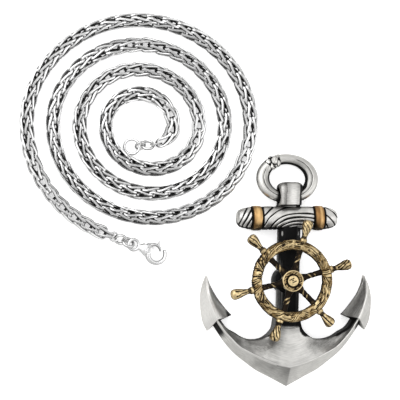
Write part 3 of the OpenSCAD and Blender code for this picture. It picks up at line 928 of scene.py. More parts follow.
# One end of the log. Columns: distance from its end, radius.
LOG_END = [(0, 0.02), (0, 1.1), (0.12, 1.6), (0.5, 2.1), (1.2, 2.48), (2.2, 2.78)]
BED_PLAY = 0.12
LOG_STEP = 0.1
LOG_SIDES = 220


def log_profile():
    """Places along the log at about equal steps, and its radius at each. A band's bed lies near
    either end."""
    in_x, out_x = BAND_X - BAND_W / 2 - BED_PLAY, BAND_X + BAND_W / 2 + BED_PLAY
    bed = [(-out_x - 0.35, 3.02), (-out_x - 0.1, 2.98), (-out_x, 2.72), (-in_x, 2.72),
           (0.1 - in_x, 3.02), (0.4 - in_x, 3.12), (3 - in_x, LOG_R)]
    half = np.array([(x - LOG_HALF, r) for x, r in LOG_END] + bed)
    outline = np.vstack([half, half[::-1] * (-1, 1)])
    xs = []
    for a, b in zip(outline[:-1, 0], outline[1:, 0]):
        steps = max(1, int(round(abs(b - a) / LOG_STEP)))
        xs += list(a + (b - a) * np.arange(steps) / steps)
    xs = np.array(xs + [outline[-1, 0]])
    # Where two rows share a place, the later one is moved on by a hair.
    order = np.maximum.accumulate(outline[:, 0] + np.arange(len(outline)) * 1e-7)
    radius = np.interp(xs + 1e-6, order, outline[:, 1])
    radius[0] = radius[-1] = LOG_END[0][1]
    return xs, radius


def log_grain(x, y, in_band):
    """The size of the oval through each point, the depth of the grooves from 0 to 1, and of the
    hairlines between them."""
    size = grain_size(x + 0.35 * noise2(x * 0.5, y * 0.6 + 9, 5) - 0.17, y + 0.2 * np.sin(x * 0.45))
    depth = np.zeros_like(size)
    for rings_here, here in ((MIDDLE_RINGS, np.abs(x) < BAND_X), (RIGHT_RINGS, x > BAND_X),
                             (LEFT_RINGS, x < -BAND_X)):
        for k, ring in enumerate(rings_here):
            width = GROOVE_W * (0.7 + 0.7 * noise2(x * 0.35 + k * 7.1, y * 0.5, 11))
            depth = np.maximum(depth, here * ramp(np.abs(size - ring), width, width * 0.3))
    hair = ramp(np.abs((size * 1.9) % 1 - 0.5), 0.07, 0.01) * 0.25
    hair = hair * ramp(noise2(x * 0.6, y * 0.9, 17), 0.5, 0.7)
    return size, np.where(in_band, 0, depth), np.where(in_band, 0, hair)


def log_wear_and_shade(x, y, up, depth, hair, in_band):
    """Black patina in the grooves and beside the bands, and painted shade along the lower side and
    beside the neck. up is 1 at the side towards the ring."""
    near_band = ramp(np.abs(np.abs(x) - BAND_X), BAND_W / 2 + 0.6, BAND_W / 2 + 0.42)
    ends = ramp(np.abs(x), LOG_HALF - 0.3, LOG_HALF) * 0.1
    below = ramp(x, 11, -9) * 0.1 + 0.03 * noise2(x * 0.5, y * 0, 19) - 0.12 * ramp(x, -9.6, -11.5)
    shaded_underside = ramp(up, -0.82 + below, -0.9 + below)
    neck_shadow = (np.abs(x - leaned(LOG_Y)) < 3.6) * ramp(np.abs(up), 0.965, 0.995)
    black_and_shade = np.maximum.reduce([depth * 1.1, hair, near_band * 0.9, ends, shaded_underside, neck_shadow * 0.9])
    tone = 0.5 * ramp(np.abs(depth - 0.3), 0.3, 0) + 0.45 * noise2(x * 0.7, y * 0.9, 23) - 0.1
    return np.where(in_band, 1.0, black_and_shade), tone


def stock():
    xs, radius = log_profile()
    a = circle(LOG_SIDES)
    up = np.cos(a)
    x, radius = np.repeat(xs[:, None], LOG_SIDES, 1), radius[:, None]
    y = radius * up
    in_band = np.abs(np.abs(x) - BAND_X) < BAND_W / 2 + BED_PLAY + 0.01
    size, depth, hair = log_grain(x, y, in_band)
    # The grooves run out on the log's upper and lower side.
    shallow = 1 - 0.7 * ramp(np.abs(up), 0.84, 0.96)
    swell = (noise2(x * 0.8, a * 2.5, 3) - 0.5) * 0.08
    r = radius - np.minimum(GROOVE_D, radius * 0.1) * depth * shallow - 0.05 * hair
    r = r + np.where(in_band | (radius <= 1), 0, swell)
    verts, faces = skin(columns(x, LOG_Y + r * up, MID_Z + r * np.sin(a)))
    obj = facing_out(mesh_object("stock_log", verts, faces))
    black_and_shade, tone = log_wear_and_shade(x, y, up, depth, hair, in_band)
    grain = np.vstack([columns(size, x * 0.5, y * 0.1).reshape(-1, 3), np.zeros((2, 3))])
    mark_wear_and_shade(obj, with_ends(black_and_shade, 0.3, 0.3), with_ends(tone, 0.3, 0.3), grain)
    return finished(obj, GRAINED_STEEL, "root", ["stock"], sharp=60)


def stock_band(side, node):
    """A low domed gold band, with a painted highlight and painted shade placed differently on the
    left, where side is -1, and on the right.
    """
    half = BAND_W / 2
    rim = [(BAND_BED_R + 0.05, half - 0.1), (BAND_BED_R + 0.12, half), (BAND_R - 0.2, half),
           (BAND_R - 0.11, half - 0.08)]
    crown = [(BAND_R + 0.02 - 0.12 * (w / half) ** 2, w)
             for w in np.linspace(0.3 - half, half - 0.3, 13)]
    v, f = turned([(r, -w) for r, w in rim] + crown + rim[::-1], 160, "x")
    across = v[:, 0]
    angle = np.arctan2(v[:, 1], v[:, 2])
    dent = (noise2((angle + math.pi) * 3 + 2, across * 1.5 + 20 * side, 21) - 0.5) * 0.05
    v = v * columns(1, 1 + dent / BAND_R, 1 + dent / BAND_R)
    obj = facing_out(mesh_object(node, v + (side * BAND_X, LOG_Y, MID_Z), f))
    # Painted shade on the lower side and towards a lower corner, and a painted highlight stripe in the tone.
    low = ramp(v[:, 1] / BAND_R, -0.55, -0.95)
    worn = noise2(across * 2.4 + 30, angle * 1.6 + 9, 25) * 0.5
    worn = worn + noise2(across * 5 + 3, angle * 3, 26) * 0.5
    if side < 0:
        tone = 0.42 - 0.5 * ramp(np.abs(across - 0.15), 0.6, 0.1) + 0.35 * ramp(across, -0.3, -0.9)
        corner = ramp(v[:, 1] - 1.2 * across, -1.2, -3.2) + ramp(across, -0.8, -1.1)
    else:
        tone = 1.0 - 0.75 * ramp(np.abs(across - 0.45), 0.6, 0.1)
        corner = ramp(v[:, 1] + 0.8 * across, -1.4, -3.0) + 0.5 * ramp(across, -0.3, -0.9)
    edge = ramp(np.abs(across), half - 0.22, half) * 0.75
    mark_wear_and_shade(obj, edge + 0.6 * corner + 0.4 * ramp(low, 0.3, 1),
              tone + 0.25 * low + 0.5 * (worn - 0.5), columns(across, angle * 3, 0))
    return finished(obj, BAND_GOLD, "root", [node])


stock()
stock_band(-1, "stock_band_left")
stock_band(1, "stock_band_right")


# Ship's wheel

# Which way the carved strokes run on the rim. Columns: place round the rim and direction of the
# strokes, both in degrees from +X.
STROKES = [(0, 60), (10, 50), (14, 5), (22, -30), (45, -42), (62, -35), (75, -10), (90, 0),
           (107, 5), (120, 14), (138, 22), (146, 20), (152, -14), (175, -8), (205, -14),
           (213, -30), (222, -58), (248, -62), (256, -38), (268, 48), (276, -42), (284, 66),
           (300, 58), (315, 44), (335, 56), (360, 60)]
STROKE_GAP = 0.5
STROKE_LENGTH = 4.6


def strokes(u, v, slant, seed, bold=1.0):
    """Cut lines from 0, clean, to 1, deep, in one direction, and a tone from 0 to 1 for the metal
    between them. u and v are in mm. bold widens the lines."""
    p = u * math.cos(slant) + v * math.sin(slant)
    q = v * math.cos(slant) - u * math.sin(slant) + 0.1 * np.sin(p * 2.1 + seed)
    row = np.floor(q / STROKE_GAP)
    f = q / STROKE_GAP - row - 0.5
    row = row.astype(np.int64)
    part = p / STROKE_LENGTH + 3 * lattice(row, 0, seed)
    piece = np.floor(part).astype(np.int64)
    ends = ramp(np.abs(part - piece - 0.5), 0.5, 0.36)
    deep = lattice(row, piece, seed + 1)
    off = 0.35 * (lattice(row, piece, seed + 2) - 0.5)
    width = bold * (0.19 + 0.27 * deep ** 2) * (0.5 + 0.5 * ends)
    line = ramp(np.abs(f - off), width, width * 0.35) * ramp(deep, 0.0, 0.3) * ends
    streaks = noise2(p * 0.6 + 50, q * 5.2, seed + 4)
    return line, 0.4 * lattice(row, piece, seed + 3) + 0.6 * ramp(streaks, 0.15, 0.85)


RIM_HALF_T = 1.1
RIM_POWER = 2.8
RIM_PATCHES = 26


def rim_cuts(turn, over, mid):
    """Cut lines and the tone between them all over the rim. They are cut patch by patch, each in
    the direction that the rim's strokes have there."""
    cut, lit = np.zeros(turn.shape), np.zeros(turn.shape)
    rnd = random.Random(14)
    for i in range(RIM_PATCHES):
        spot = 2 * math.pi * (i + rnd.uniform(-0.2, 0.2)) / RIM_PATCHES
        away = (turn - spot + math.pi) % (2 * math.pi) - math.pi
        near = np.abs(away[:, 0]) < 0.25
        way = np.interp(math.degrees(spot) % 360, *np.array(STROKES).T)
        slant = math.radians(way + rnd.uniform(-5, 5) - math.degrees(spot) - 90)
        reach = rnd.uniform(0.16, 0.21)
        window = ramp(np.abs(away[near] + 0.03 * over[near]), reach, reach * 0.55)
        # The lines are bolder on the rim's left side.
        bold = 1.4 if 2.4 < spot < 3.9 else 1.0
        made, own = strokes(away[near] * mid, over[near], slant, 100 + i, bold)
        cut[near] = np.maximum(cut[near], window * made)
        lit[near] = lit[near] + window * (rnd.uniform(-0.15, 0.2) + 1.1 * own - 0.55 - lit[near])
    return cut, lit


def rim():
    t = circle(780)
    mid, half_w = (RIM_OUT + RIM_IN) / 2, (RIM_OUT - RIM_IN) / 2
    c, s = pressed_circle(circle(58), RIM_POWER)
    w, h = half_w * c, RIM_HALF_T * s
    # Distance over the rim's surface from the middle of its face
    from_face = np.sign(c) * (np.abs(w) + RIM_HALF_T - h)
    turn, over = np.meshgrid(t, from_face, indexing="ij")
    cut, lit = rim_cuts(turn, over, mid)
    coarse = noise2(turn * mid * 0.8, over * 1.3 + 20, 31)
    depth = 0.2 * cut + 0.1 * (coarse - 0.5)
    r = mid + w * (1 - depth / half_w * 0.7) + 0.08 * (noise2(t * 9, t * 0, 77) - 0.5)[:, None]
    z = WHEEL_Z + h * (1 - depth / RIM_HALF_T)
    verts, faces = skin(columns(r * np.cos(t)[:, None], r * np.sin(t)[:, None], z), closed=True)
    # Painted shade along the rim's edges, on its underside and on its flanks.
    edge = 0.75 * ramp(np.abs(w), half_w * 0.84, half_w) * ramp(-h, -1.0, -0.5)
    black_and_shade = cut * 1.1 + 0.7 * ramp(h, 0.15, -0.6) + edge
    shaded_flank = ramp(np.abs(w), half_w * 0.6, half_w)
    tone = 0.53 + lit + 0.5 * (coarse - 0.5) + 0.45 * cut + 0.25 * shaded_flank
    return verts, faces, columns(black_and_shade.ravel(), tone.ravel())


def along_spoke(verts, angle):
    """Lays what stands along Z along a spoke."""
    x, y, z = turn_to_x(verts).T
    c, s = math.cos(angle), math.sin(angle)
    return columns(x * c - y * s, x * s + y * c, z + WHEEL_Z)


# What each spoke is turned off its even place by, in degrees
SPOKE_TURNS = (1.0, 0.0, 0.0, -2.5, 0.0, 0.0)


def spoke(angle, seed):
    """A thin bar from the hub into the rim, blackened, with a twisted and rubbed middle."""
    along, a = np.linspace(HUB_R - 0.7, RIM_IN + 0.7, 72)[:, None], circle(30)
    turn = a - along * 1.5 + seed
    strand = np.abs(np.cos(1.5 * turn))
    middle = ramp(np.abs(along - 5.4 - 0.5 * math.sin(seed * 2.3)), 1.5, 0.6)
    ends = 0.08 * ramp(along, RIM_IN - 0.9, RIM_IN) + 0.38 * ramp(along, HUB_R + 1.4, HUB_R - 0.2)
    r = 0.76 - 0.14 * middle + ends + 0.16 * middle * strand
    verts, faces = skin(columns(r * np.cos(a), r * np.sin(a), along))
    worn = noise2(along * 1.6 + 5 * seed, turn * 0.9, 60 + seed)
    fleck = 0.75 * ramp(strand, 0.7, 0.95) * middle * ramp(worn, 0.3, 0.7)
    haze = 0.3 * ramp(noise2(along * 1.3 + 3 * seed, a * 1.6, 70), 0.55, 0.85)
    marks = columns(with_ends(0.97 - 0.85 * fleck - haze, 1, 1), with_ends(0.85 - 0.5 * fleck, 1, 1))
    return along_spoke(verts, angle + math.radians(SPOKE_TURNS[seed])), faces, marks


# Columns: distance from the handle's foot, radius.
HANDLE_ROWS = [(0, 0.7), (0.15, 0.86), (0.3, 0.92), (0.75, 0.92), (0.92, 0.86), (1.05, 0.74),
               (1.35, 0.68), (1.8, 0.7), (2.4, 0.83), (3.1, 1.02), (3.8, 1.2), (4.4, 1.31),
               (4.95, 1.34), (5.4, 1.24), (5.7, 1.0), (5.9, 0.64), (6.0, 0.12)]
# The six handles. Columns: how fast their cut lines wind, in radians a mm, the lines' number, how
# dark the handle is on the whole, its turn off the spoke in degrees, and what it is longer by.
HANDLES = [(0.42, 9, 0.35, 0.7, 0.15), (0.75, 7, 0.22, -1.1, 0.0), (0.1, 9, 0.2, -0.7, -0.15),
           (0.08, 7, 0.15, -2.2, 0.35), (0.4, 8, 0.25, -2.5, 0.0), (0.12, 7, 0.2, -2.0, -0.5)]
HANDLE_LENGTH = 6.0
HANDLE_SWELL = 1.06


def handle(angle, seed):
    """A pear-shaped grip with cut lines that run together at its neck, on a collar."""
    wind, count, darkness, off_spoke, longer = HANDLES[seed]
    rows = smooth_rows(HANDLE_ROWS, 5) * (1 + longer / HANDLE_LENGTH, HANDLE_SWELL)
    along, radius = rows[:, 0, None], rows[:, 1, None]
    a = circle(64)
    wobble = 0.4 * (noise2(along * 0.9 + 3 * seed, a * 1.3 + seed, 91) - 0.5)
    turn = (a + wind * (along - 4) + seed * 0.7 + wobble) * count / (2 * math.pi)
    line = np.floor(turn)
    gap = np.abs(turn - line - 0.5) * 2 * math.pi / count * radius
    which = line.astype(np.int64) % count
    # Each line has its own depth, start, end and width.
    deep, start, end, width = (low + more * lattice(which, 0, base + seed) for low, more, base in
                               ((0.5, 0.5, 300), (1.2, 1.0, 310), (4.7, 1.1, 320), (0.17, 0.15, 330)))
    cut = ramp(gap, width, width * 0.4) * deep
    cut = cut * ramp(along, start, start + 0.6) * ramp(along, end + 0.5, end)
    r = radius - 0.18 * cut
    verts, faces = skin(columns(r * np.cos(a), r * np.sin(a), HANDLE_TIP - HANDLE_LENGTH + along))
    neck = ramp(np.abs(along - 1.25), 0.75, 0.2)
    foot = ramp(along, 0.25, 0.0)
    rough = noise2(along * 2.2 + 11 * seed, a * 3, 95)
    # Painted shade on one flank of the handle.
    shaded_flank = ramp(-np.cos(a), 0.8, 0.1)
    black_and_shade = cut * 1.3 + neck * 0.6 + foot + ramp(rough, 0.6, 0.95) * 0.4
    black_and_shade = black_and_shade + darkness * 0.4 + 0.25 * shaded_flank
    tone = 0.08 + darkness + 0.3 * neck + 0.6 * (rough - 0.4) + 0.5 * shaded_flank + 0.2 * cut
    marks = columns(with_ends(black_and_shade, 0.8, 0.2), with_ends(tone, 0.5, 0.2))
    return along_spoke(verts, angle + math.radians(off_spoke)), faces, marks


def hub():
    """Hub with a thin bright lip, a scratched slope and a dark groove round the rivet's head."""
    bore, lip, base = RIVET_R + 0.06, HUB_R - 0.2, -1.2
    p = [(bore, base), (HUB_R - 0.4, base), (HUB_R - 0.1, base + 0.1),
         (HUB_R, base + 0.4), (HUB_R, 1.0), (HUB_R - 0.02, 1.3), (HUB_R - 0.08, 1.42),
         (lip, 1.45), (lip - 0.14, 1.42), (lip - 0.2, 1.32)]
    p += [(r, 1.3 - 0.16 * (lip - 0.2 - r)) for r in np.linspace(lip - 0.32, 1.82, 9)]
    p += [(1.74, 1.12), (1.66, 1.0), (1.55, 0.92), (bore, 0.92)]
    v, f = turned(p, 132)
    r = np.hypot(v[:, 0], v[:, 1])
    angle = np.arctan2(v[:, 1], v[:, 0])
    chip = noise2((angle + 4) * 4, r * 2.5, 63)
    scratch = strokes(v[:, 0], v[:, 1], 0.5, 64)[0] * (r > 1.75) * (r < lip - 0.15)
    low = v[:, 2] < 0.7
    slope = (r > 1.75) & (r < lip - 0.1) & ~low
    slope_soot = 0.22 + 0.6 * ramp(chip, 0.6, 0.85) + 0.65 * scratch
    black_and_shade = np.maximum(np.select([low, slope], [0.8, slope_soot], 0.0), ramp(r, 1.95, 1.78))
    black_and_shade = black_and_shade + 0.3 * ramp(chip, 0.75, 0.9)
    tone = np.where(slope, 0.75 + 0.5 * (chip - 0.5), 0.12)
    v = v + (0, 0, WHEEL_Z)
    v[:, 2] -= np.where(slope, 0.1 * scratch + 0.05 * chip, 0)
    return v, f, columns(black_and_shade, tone)


def wheel():
    parts = [rim(), hub()]
    for k in range(len(HANDLES)):
        angle = math.radians(FIRST_SPOKE + 60 * k)
        parts += [spoke(angle, k), handle(angle, k)]
    obj, marks = joined("wheel_casting", parts, (0.8, 0.6))
    mark_wear_and_shade(obj, *marks.T, corners_of(obj)[0])
    return finished(obj, ANTIQUED_GOLD, "wheel", ["wheel"], sharp=60)


# Score marks on the rivet's head. Columns: x and y of one end, x and y of the other.
SCORES = [(-0.95, 0.2, -0.5, 0.38), (-0.6, 0.36, 0.15, 0.68), (-0.35, 0.05, 0.05, 0.2),
          (-0.15, -0.4, 0.3, -0.22), (0.2, -0.3, 0.8, -0.02)]


def rivet():
    """The wheel's rivet: a shaft, and a low domed head with score marks."""
    low, top = WHEEL_Z + 1.15, WHEEL_Z + 1.7
    edge_r = [RIVET_R - 0.06, RIVET_R, RIVET_R, RIVET_R, 1.34, 1.43, 1.43, 1.4, 1.34]
    edge_z = [1.3, 1.4, 4, low - 0.02, low, low + 0.1, top - 0.2, top - 0.09, top - 0.03]
    dome = np.linspace(1.3, 0.03, 61)
    r = np.append(edge_r, dome)[:, None]
    z = np.append(edge_z, top - 0.02 + 0.05 * (1 - (dome / 1.3) ** 2))[:, None]
    a = circle(96)
    x, y = r * np.cos(a), r * np.sin(a)
    flat = columns(x.ravel(), y.ravel())
    cut = np.zeros(len(flat))
    for x0, y0, x1, y1 in SCORES:
        gap, _, _ = nearest_on(np.array([(x0, y0), (x1, y1)]), flat)
        cut = np.maximum(cut, ramp(gap, 0.17, 0.06))
    row = np.arange(len(r))[:, None]
    cut = cut.reshape(x.shape) * (row >= len(edge_r))
    verts, faces = skin(columns(x, y, z - 0.12 * cut))
    obj = facing_out(mesh_object("wheel_rivet_head", verts, faces))
    tone = 0.25 * ramp(noise2(verts[:, 0] * 2.2, verts[:, 1] * 2.2, 88), 0.4, 0.8)
    mark_wear_and_shade(obj, with_ends(cut * 1.1 + (row < 6), 1, 0), tone, verts)
    return finished(obj, ANTIQUED_GOLD, "root", ["wheel_rivet"])


wheel()
rivet()


# Pendant ring

RING_A = ((RING_OUT[0] + RING_IN[0]) / 2, (RING_OUT[1] + RING_IN[1]) / 2)
RING_CENTRE = RING_A[1] - RING_PLAY
RING_TILT = math.asin((MID_Z - RING_HALF_T - FLOOR_GAP) / (RING_CENTRE + RING_A[1]))
WELD_TURN = math.radians(124)
LUMP_LIFT = 0.55


def to_ring(v):
    """From the ring's own frame to its place in the head's eye."""
    y, z = v[:, 1] + RING_CENTRE, v[:, 2]
    c, s = math.cos(RING_TILT), math.sin(RING_TILT)
    return columns(RING_X + v[:, 0], EYE_Y + y * c + z * s, MID_Z - y * s + z * c)


def ring_wire():
    """The ring's oval wire. Its marks are black, tone and the three columns of its grain."""
    t, a = circle(240), circle(48)
    centre = columns(RING_A[0] * np.cos(t), RING_A[1] * np.sin(t))
    way = unit(columns(RING_A[1] * np.cos(t), RING_A[0] * np.sin(t)))
    half_x, half_y = (RING_OUT[0] - RING_IN[0]) / 2, (RING_OUT[1] - RING_IN[1]) / 2
    half = half_y + (half_x - half_y) * np.cos(t) ** 2
    t, half = t[:, None], half[:, None]
    # A crease runs along the front, but fades out above the closing joint.
    degrees = np.degrees(t)
    creased = 1 - ramp(degrees, 60, 80) * ramp(degrees, 155, 140)
    c, front = np.cos(a), np.sin(a) > 0
    lift = RING_HALF_T * np.sin(a) - 0.16 * ramp(np.abs(c), 0.2, 0.0) * front * creased
    out = half * c
    rings = columns(centre[:, 0, None] + way[:, 0, None] * out,
                    centre[:, 1, None] + way[:, 1, None] * out, lift)
    verts, faces = skin(rings, closed=True)
    # Painted shade lies black along the inner side, narrower at the upper right and wider beside the
    # head, and also in the head's eye and along the crease.
    wide = -0.06 * ramp(degrees, 15, 50) * ramp(degrees, 108, 85)
    wide = wide + 0.3 * ramp(degrees, 290, 305) * ramp(degrees, 345, 318)
    inner = ramp(c, -0.56 + wide, -0.78 + wide)
    at_eye = ramp(np.cos(t + math.pi / 2), 0.82, 0.93) * 0.9
    at_weld = ramp(np.abs(t - WELD_TURN), 0.31, 0.27)
    line = ramp(np.abs(c), 0.14, 0.05) * front * creased
    black_and_shade = np.maximum(np.maximum(inner, line * 0.85), np.maximum(at_eye, at_weld))
    # Painted shade: the inner half of the wire, past the crease, and its outer and inner edges are darker.
    tone = 0.24 + 0.28 * ramp(c, 0.08, -0.06) * creased
    tone = tone + 0.3 * ramp(c, 0.86, 0.97) + 0.2 * ramp(c, -0.4, -0.7)
    return to_ring(verts), faces, columns(black_and_shade, tone, a * 1.4, t * 6, 0).reshape(-1, 5)


def lump_place(turn, aside):
    """The middle of a lump of the closing joint, in the ring's own frame."""
    c, s = math.cos(turn), math.sin(turn)
    out = unit(np.array([RING_A[1] * c, RING_A[0] * s])) * aside
    return np.array([RING_A[0] * c + out[0], RING_A[1] * s + out[1], LUMP_LIFT])


def weld_lump(turn, aside, size, seed):
    """A rough faceted lump of the ring's closing joint, aside from the wire's middle line."""
    rnd = random.Random(seed)
    # Flat facets: the lump lies inside a few planes at about its radius from its middle.
    facets = unit(np.array([[rnd.gauss(0, 1) for _ in range(3)] for _ in range(16)]))
    depths = size * np.array([rnd.uniform(0.72, 0.95) for _ in facets])
    tones = np.array([rnd.choice((0.0, 0.0, 0.1, 0.5)) for _ in facets])
    b = (math.pi * np.arange(1, 22) / 22)[:, None]
    q = circle(34)
    verts, faces = skin(columns(np.sin(b) * np.cos(q), np.sin(b) * np.sin(q), np.cos(b)))
    verts[-2:] = [(0, 0, 1), (0, 0, -1)]
    reach = depths / np.maximum(verts @ facets.T, 0.3)
    v = verts * np.minimum(reach.min(1), size * 1.1)[:, None]
    marks = columns(0.0, tones[reach.argmin(1)], *v.T)
    return to_ring(v + lump_place(turn, aside)), faces, marks


# Lumps of the closing joint. Columns: place round the ring from the joint's middle, distance to
# the outer side, radius, seed.
LUMPS = [(-0.21, 0.75, 0.95, 5), (-0.17, -0.55, 1.1, 8), (-0.03, 0.2, 1.3, 2), (0.0, -1.0, 0.85, 13),
         (0.02, 1.05, 0.75, 4), (0.16, 0.6, 1.05, 21), (0.17, -0.6, 1.1, 9)]


def weld_gaps(obj):
    """Black where two lumps of the closing joint meet."""
    v, _ = corners_of(obj)
    reach = []
    for turn, aside, size, _ in LUMPS:
        spot = to_ring(lump_place(WELD_TURN + turn, aside)[None, :])[0]
        reach.append(np.linalg.norm(v - spot, axis=1) / size)
    nearest = np.sort(np.array(reach), 0)
    return ramp(nearest[1] - nearest[0], 0.3, 0.12) * (nearest[1] < 1.15)


def pendant_ring():
    lumps = [weld_lump(WELD_TURN + turn, aside, size, seed) for turn, aside, size, seed in LUMPS]
    obj, marks = joined("hanging_ring", [ring_wire(), *lumps], (0.9, 0.5, 0, 0, 0))
    mark_wear_and_shade(obj, np.maximum(marks[:, 0], weld_gaps(obj)), marks[:, 1], marks[:, 2:])
    return finished(obj, RING_STEEL, "ring", ["pendant_ring"], sharp=28)


pendant_ring()


# Chain

LINK_WIRE = 0.33
LINK_STEP = 2.05
LINK_LENGTH = 4.95
CHAIN_AXIS_Z = 1.99
# How far the first link lies inside the chain's start, and the last one inside its end
CHAIN_MARGIN = (0.4, 0.38)
# One quarter of a link, from the middle of its bend to the top of its arch. Columns: distance
# out from the chain's middle line, distance along it, half width.
LINK_ROWS = [(0, 0, 0.36), (0.85, 0.0, 0.36), (1.42, 0.22, 0.37), (1.62, 0.95, 0.44),
             (1.5, 2.4, 0.72), (1.25, 3.8, 0.97), (1.1, 4.55, 0.78), (1.02, LINK_LENGTH, 0.0)]


def coil_point(u):
    """The middle line of the coil. u counts half turns inwards."""
    j = math.ceil(u)
    low = j % 2 == 0
    r = COIL_R - COIL_STEP * j
    turn = math.radians((0 if low else 180) + 180 * (j - u) - 180)
    return (COIL_POS[0] + (COIL_STEP if low else 0) + r * math.cos(turn),
            COIL_POS[1] + COIL_FLATTEN * r * math.sin(turn))


def coil_line():
    """Points along the coil's middle line, and how far along it each one lies."""
    us = np.linspace(COIL_START, COIL_END, 3000)
    p = np.array([coil_point(u) for u in us])
    s = np.concatenate([[0], np.cumsum(np.linalg.norm(np.diff(p, axis=0), axis=1))])
    return p, s


def link_line():
    """The middle line of one link's wire, in columns out, along and across."""
    q = np.array(LINK_ROWS)
    quarter, top = q[:-1], q[-1:]
    back = quarter[:0:-1]
    loop = [quarter, top, back * (1, 1, -1), quarter * (-1, 1, -1), top * (-1, 1, 1),
            back * (-1, 1, 1)]
    return smooth_loop(np.vstack(loop), 2)


def wire_skin(line, radius, sides):
    """Rings of a wire round a closed line."""
    ahead = unit(np.roll(line, -1, 0) - np.roll(line, 1, 0))
    side = unit(np.cross(ahead, (0.0, 0.0, 1.0)) + 1e-6)
    for i in range(1, len(line)):
        side[i] = unit(side[i - 1] - ahead[i] * (side[i - 1] @ ahead[i]))
    # The frame is turned a little at each ring, so that it meets itself at the end.
    last = unit(side[-1] - ahead[0] * (side[-1] @ ahead[0]))
    miss = math.atan2(np.cross(side[0], last) @ ahead[0], side[0] @ last)
    other = np.cross(ahead, side)
    turn = circle(sides) - (miss * np.arange(len(line)) / len(line))[:, None]
    return line[:, None] + radius * (np.cos(turn)[..., None] * side[:, None]
                                     + np.sin(turn)[..., None] * other[:, None])


def link_shade(local, away):
    """Painted shade of a link, as black and tone: its wire is dark where it faces the chain's middle
    or lies deep in the chain. away points out of the wire."""
    from_axis = np.hypot(local[:, 0], local[:, 2])
    outwards = (away[:, 0] * local[:, 0] + away[:, 2] * local[:, 2]) / (from_axis + 1e-6)
    black_and_shade = np.maximum(ramp(from_axis, 1.2, 0.6), 0.75 * ramp(outwards, 0.0, -0.55))
    return black_and_shade, 0.7 * ramp(outwards, 0.8, 0.0) + 0.35 * ramp(from_axis, 1.7, 1.2)


def link_roll(n, count):
    """Every second link lies a quarter turn on. The chain is twisted a little, but not at its
    ends."""
    loose = ramp(n, 0, 12) * ramp(n, count - 1, count - 13)
    return loose * (0.62 * math.sin(n * 0.052) + 0.12 * math.sin(n * 0.31 + 2)) + n % 2 * math.pi / 2


def chain():
    p, s = coil_line()
    first = CHAIN_MARGIN[0]
    room = s[-1] - CHAIN_MARGIN[1] - LINK_LENGTH - first
    count = 2 * int(room / LINK_STEP / 2) + 1
    step = room / (count - 1)
    line = link_line()
    rings = wire_skin(line, LINK_WIRE, 6)
    local = rings.reshape(-1, 3)
    faces = np.array(skin(rings, closed=True)[1])
    verts, all_faces = [], []
    for n in range(count):
        place = first + n * step + local[:, 1]
        spot, behind, ahead = (columns(np.interp(place + off, s, p[:, 0]), np.interp(place + off, s, p[:, 1]))
                               for off in (0, -0.4, 0.4))
        left = unit((ahead - behind)[:, ::-1] * (-1, 1))
        roll = link_roll(n, count)
        c, q = math.cos(roll), math.sin(roll)
        up = local[:, 0] * c - local[:, 2] * q
        across = local[:, 0] * q + local[:, 2] * c
        verts.append(columns(*(spot + left * across[:, None]).T, CHAIN_AXIS_Z + up))
        all_faces.append(faces + n * len(local))
    obj = facing_out(mesh_object("wheat_chain", np.vstack(verts), np.vstack(all_faces).tolist()))
    black_and_shade, tone = link_shade(local, unit(rings - line[:, None]).reshape(-1, 3))
    mark_wear_and_shade(obj, np.tile(black_and_shade, count), np.tile(tone, count), np.tile(local, (count, 1)))
    return finished(obj, BRIGHT_STEEL, "root", ["chain"])


chain()


# Clasp, plain links and end ring. Each row of them starts at an end of the chain and lies along X
# in its own frame.

LINK_Z = 1.44
# An end of the chain: its place on the coil, and the way that its row of links runs
START = (COIL_START, math.radians(-22))
END = (COIL_END, math.radians(186))
FIRST_LINK = 2.08
CLASP_S = 5.79
CLAW = (6.6, 2.33)
CLAW_IN = 1.72
PIVOT = (3.9, 1.2)
PIN_R = 0.35
SLOT_HALF = 0.85
END_RING_R = 1.95
END_DROP = 0.53
BAR_POWER = 2.6


def beside_chain(v, end):
    """From a row's own frame to its place beside an end of the chain."""
    (x, y), turn = coil_point(end[0]), end[1]
    c, s = math.cos(turn), math.sin(turn)
    return columns(x + v[:, 0] * c - v[:, 1] * s, y + v[:, 0] * s + v[:, 1] * c, v[:, 2])


def bent_ring(radius, wire, seam):
    """A ring bent from wire, whose ends meet in a fine seam. It lies in the plane z = 0."""
    beside_seam = seam + np.array([-0.05, -0.02, 0.02, 0.05]) / radius
    t, a = np.sort(np.append(circle(72), beside_seam))[:, None], circle(24)
    at_seam = ramp(np.abs(t - seam) * radius, 0.05, 0.02)
    r = wire * (1 - 0.16 * at_seam)
    out = radius + r * np.cos(a)
    verts, faces = skin(columns(out * np.cos(t), out * np.sin(t), r * np.sin(a)), closed=True)
    # Black at the seam, and painted shade on the ring's inner side and on the wire's flanks.
    black_and_shade = np.maximum(0.9 * at_seam, 0.25 * ramp(np.cos(a), -0.5, -1))
    tone = 0.55 * ramp(np.abs(np.sin(a)), 0.9, 0.2)
    return verts, faces, columns(black_and_shade, tone).reshape(-1, 2)


def turned_about(v, axis, angle):
    return v @ np.array(Matrix.Rotation(angle, 3, axis)).T


def link_piece(name, node, radius, wire, place, end, seam, lean=0.0, tip=0.0, drop=0.0):
    """A link or ring of a row. It leans about X, then tips about Y, and lies drop mm lower."""
    verts, faces, marks = bent_ring(radius, wire, seam)
    v = turned_about(turned_about(verts, "X", lean), "Y", tip) + (place, 0, LINK_Z - drop)
    obj = facing_out(mesh_object(name, beside_chain(v, end), faces))
    mark_wear_and_shade(obj, *marks.T, verts)
    return finished(obj, BRIGHT_STEEL, "root", [node] if node else [])


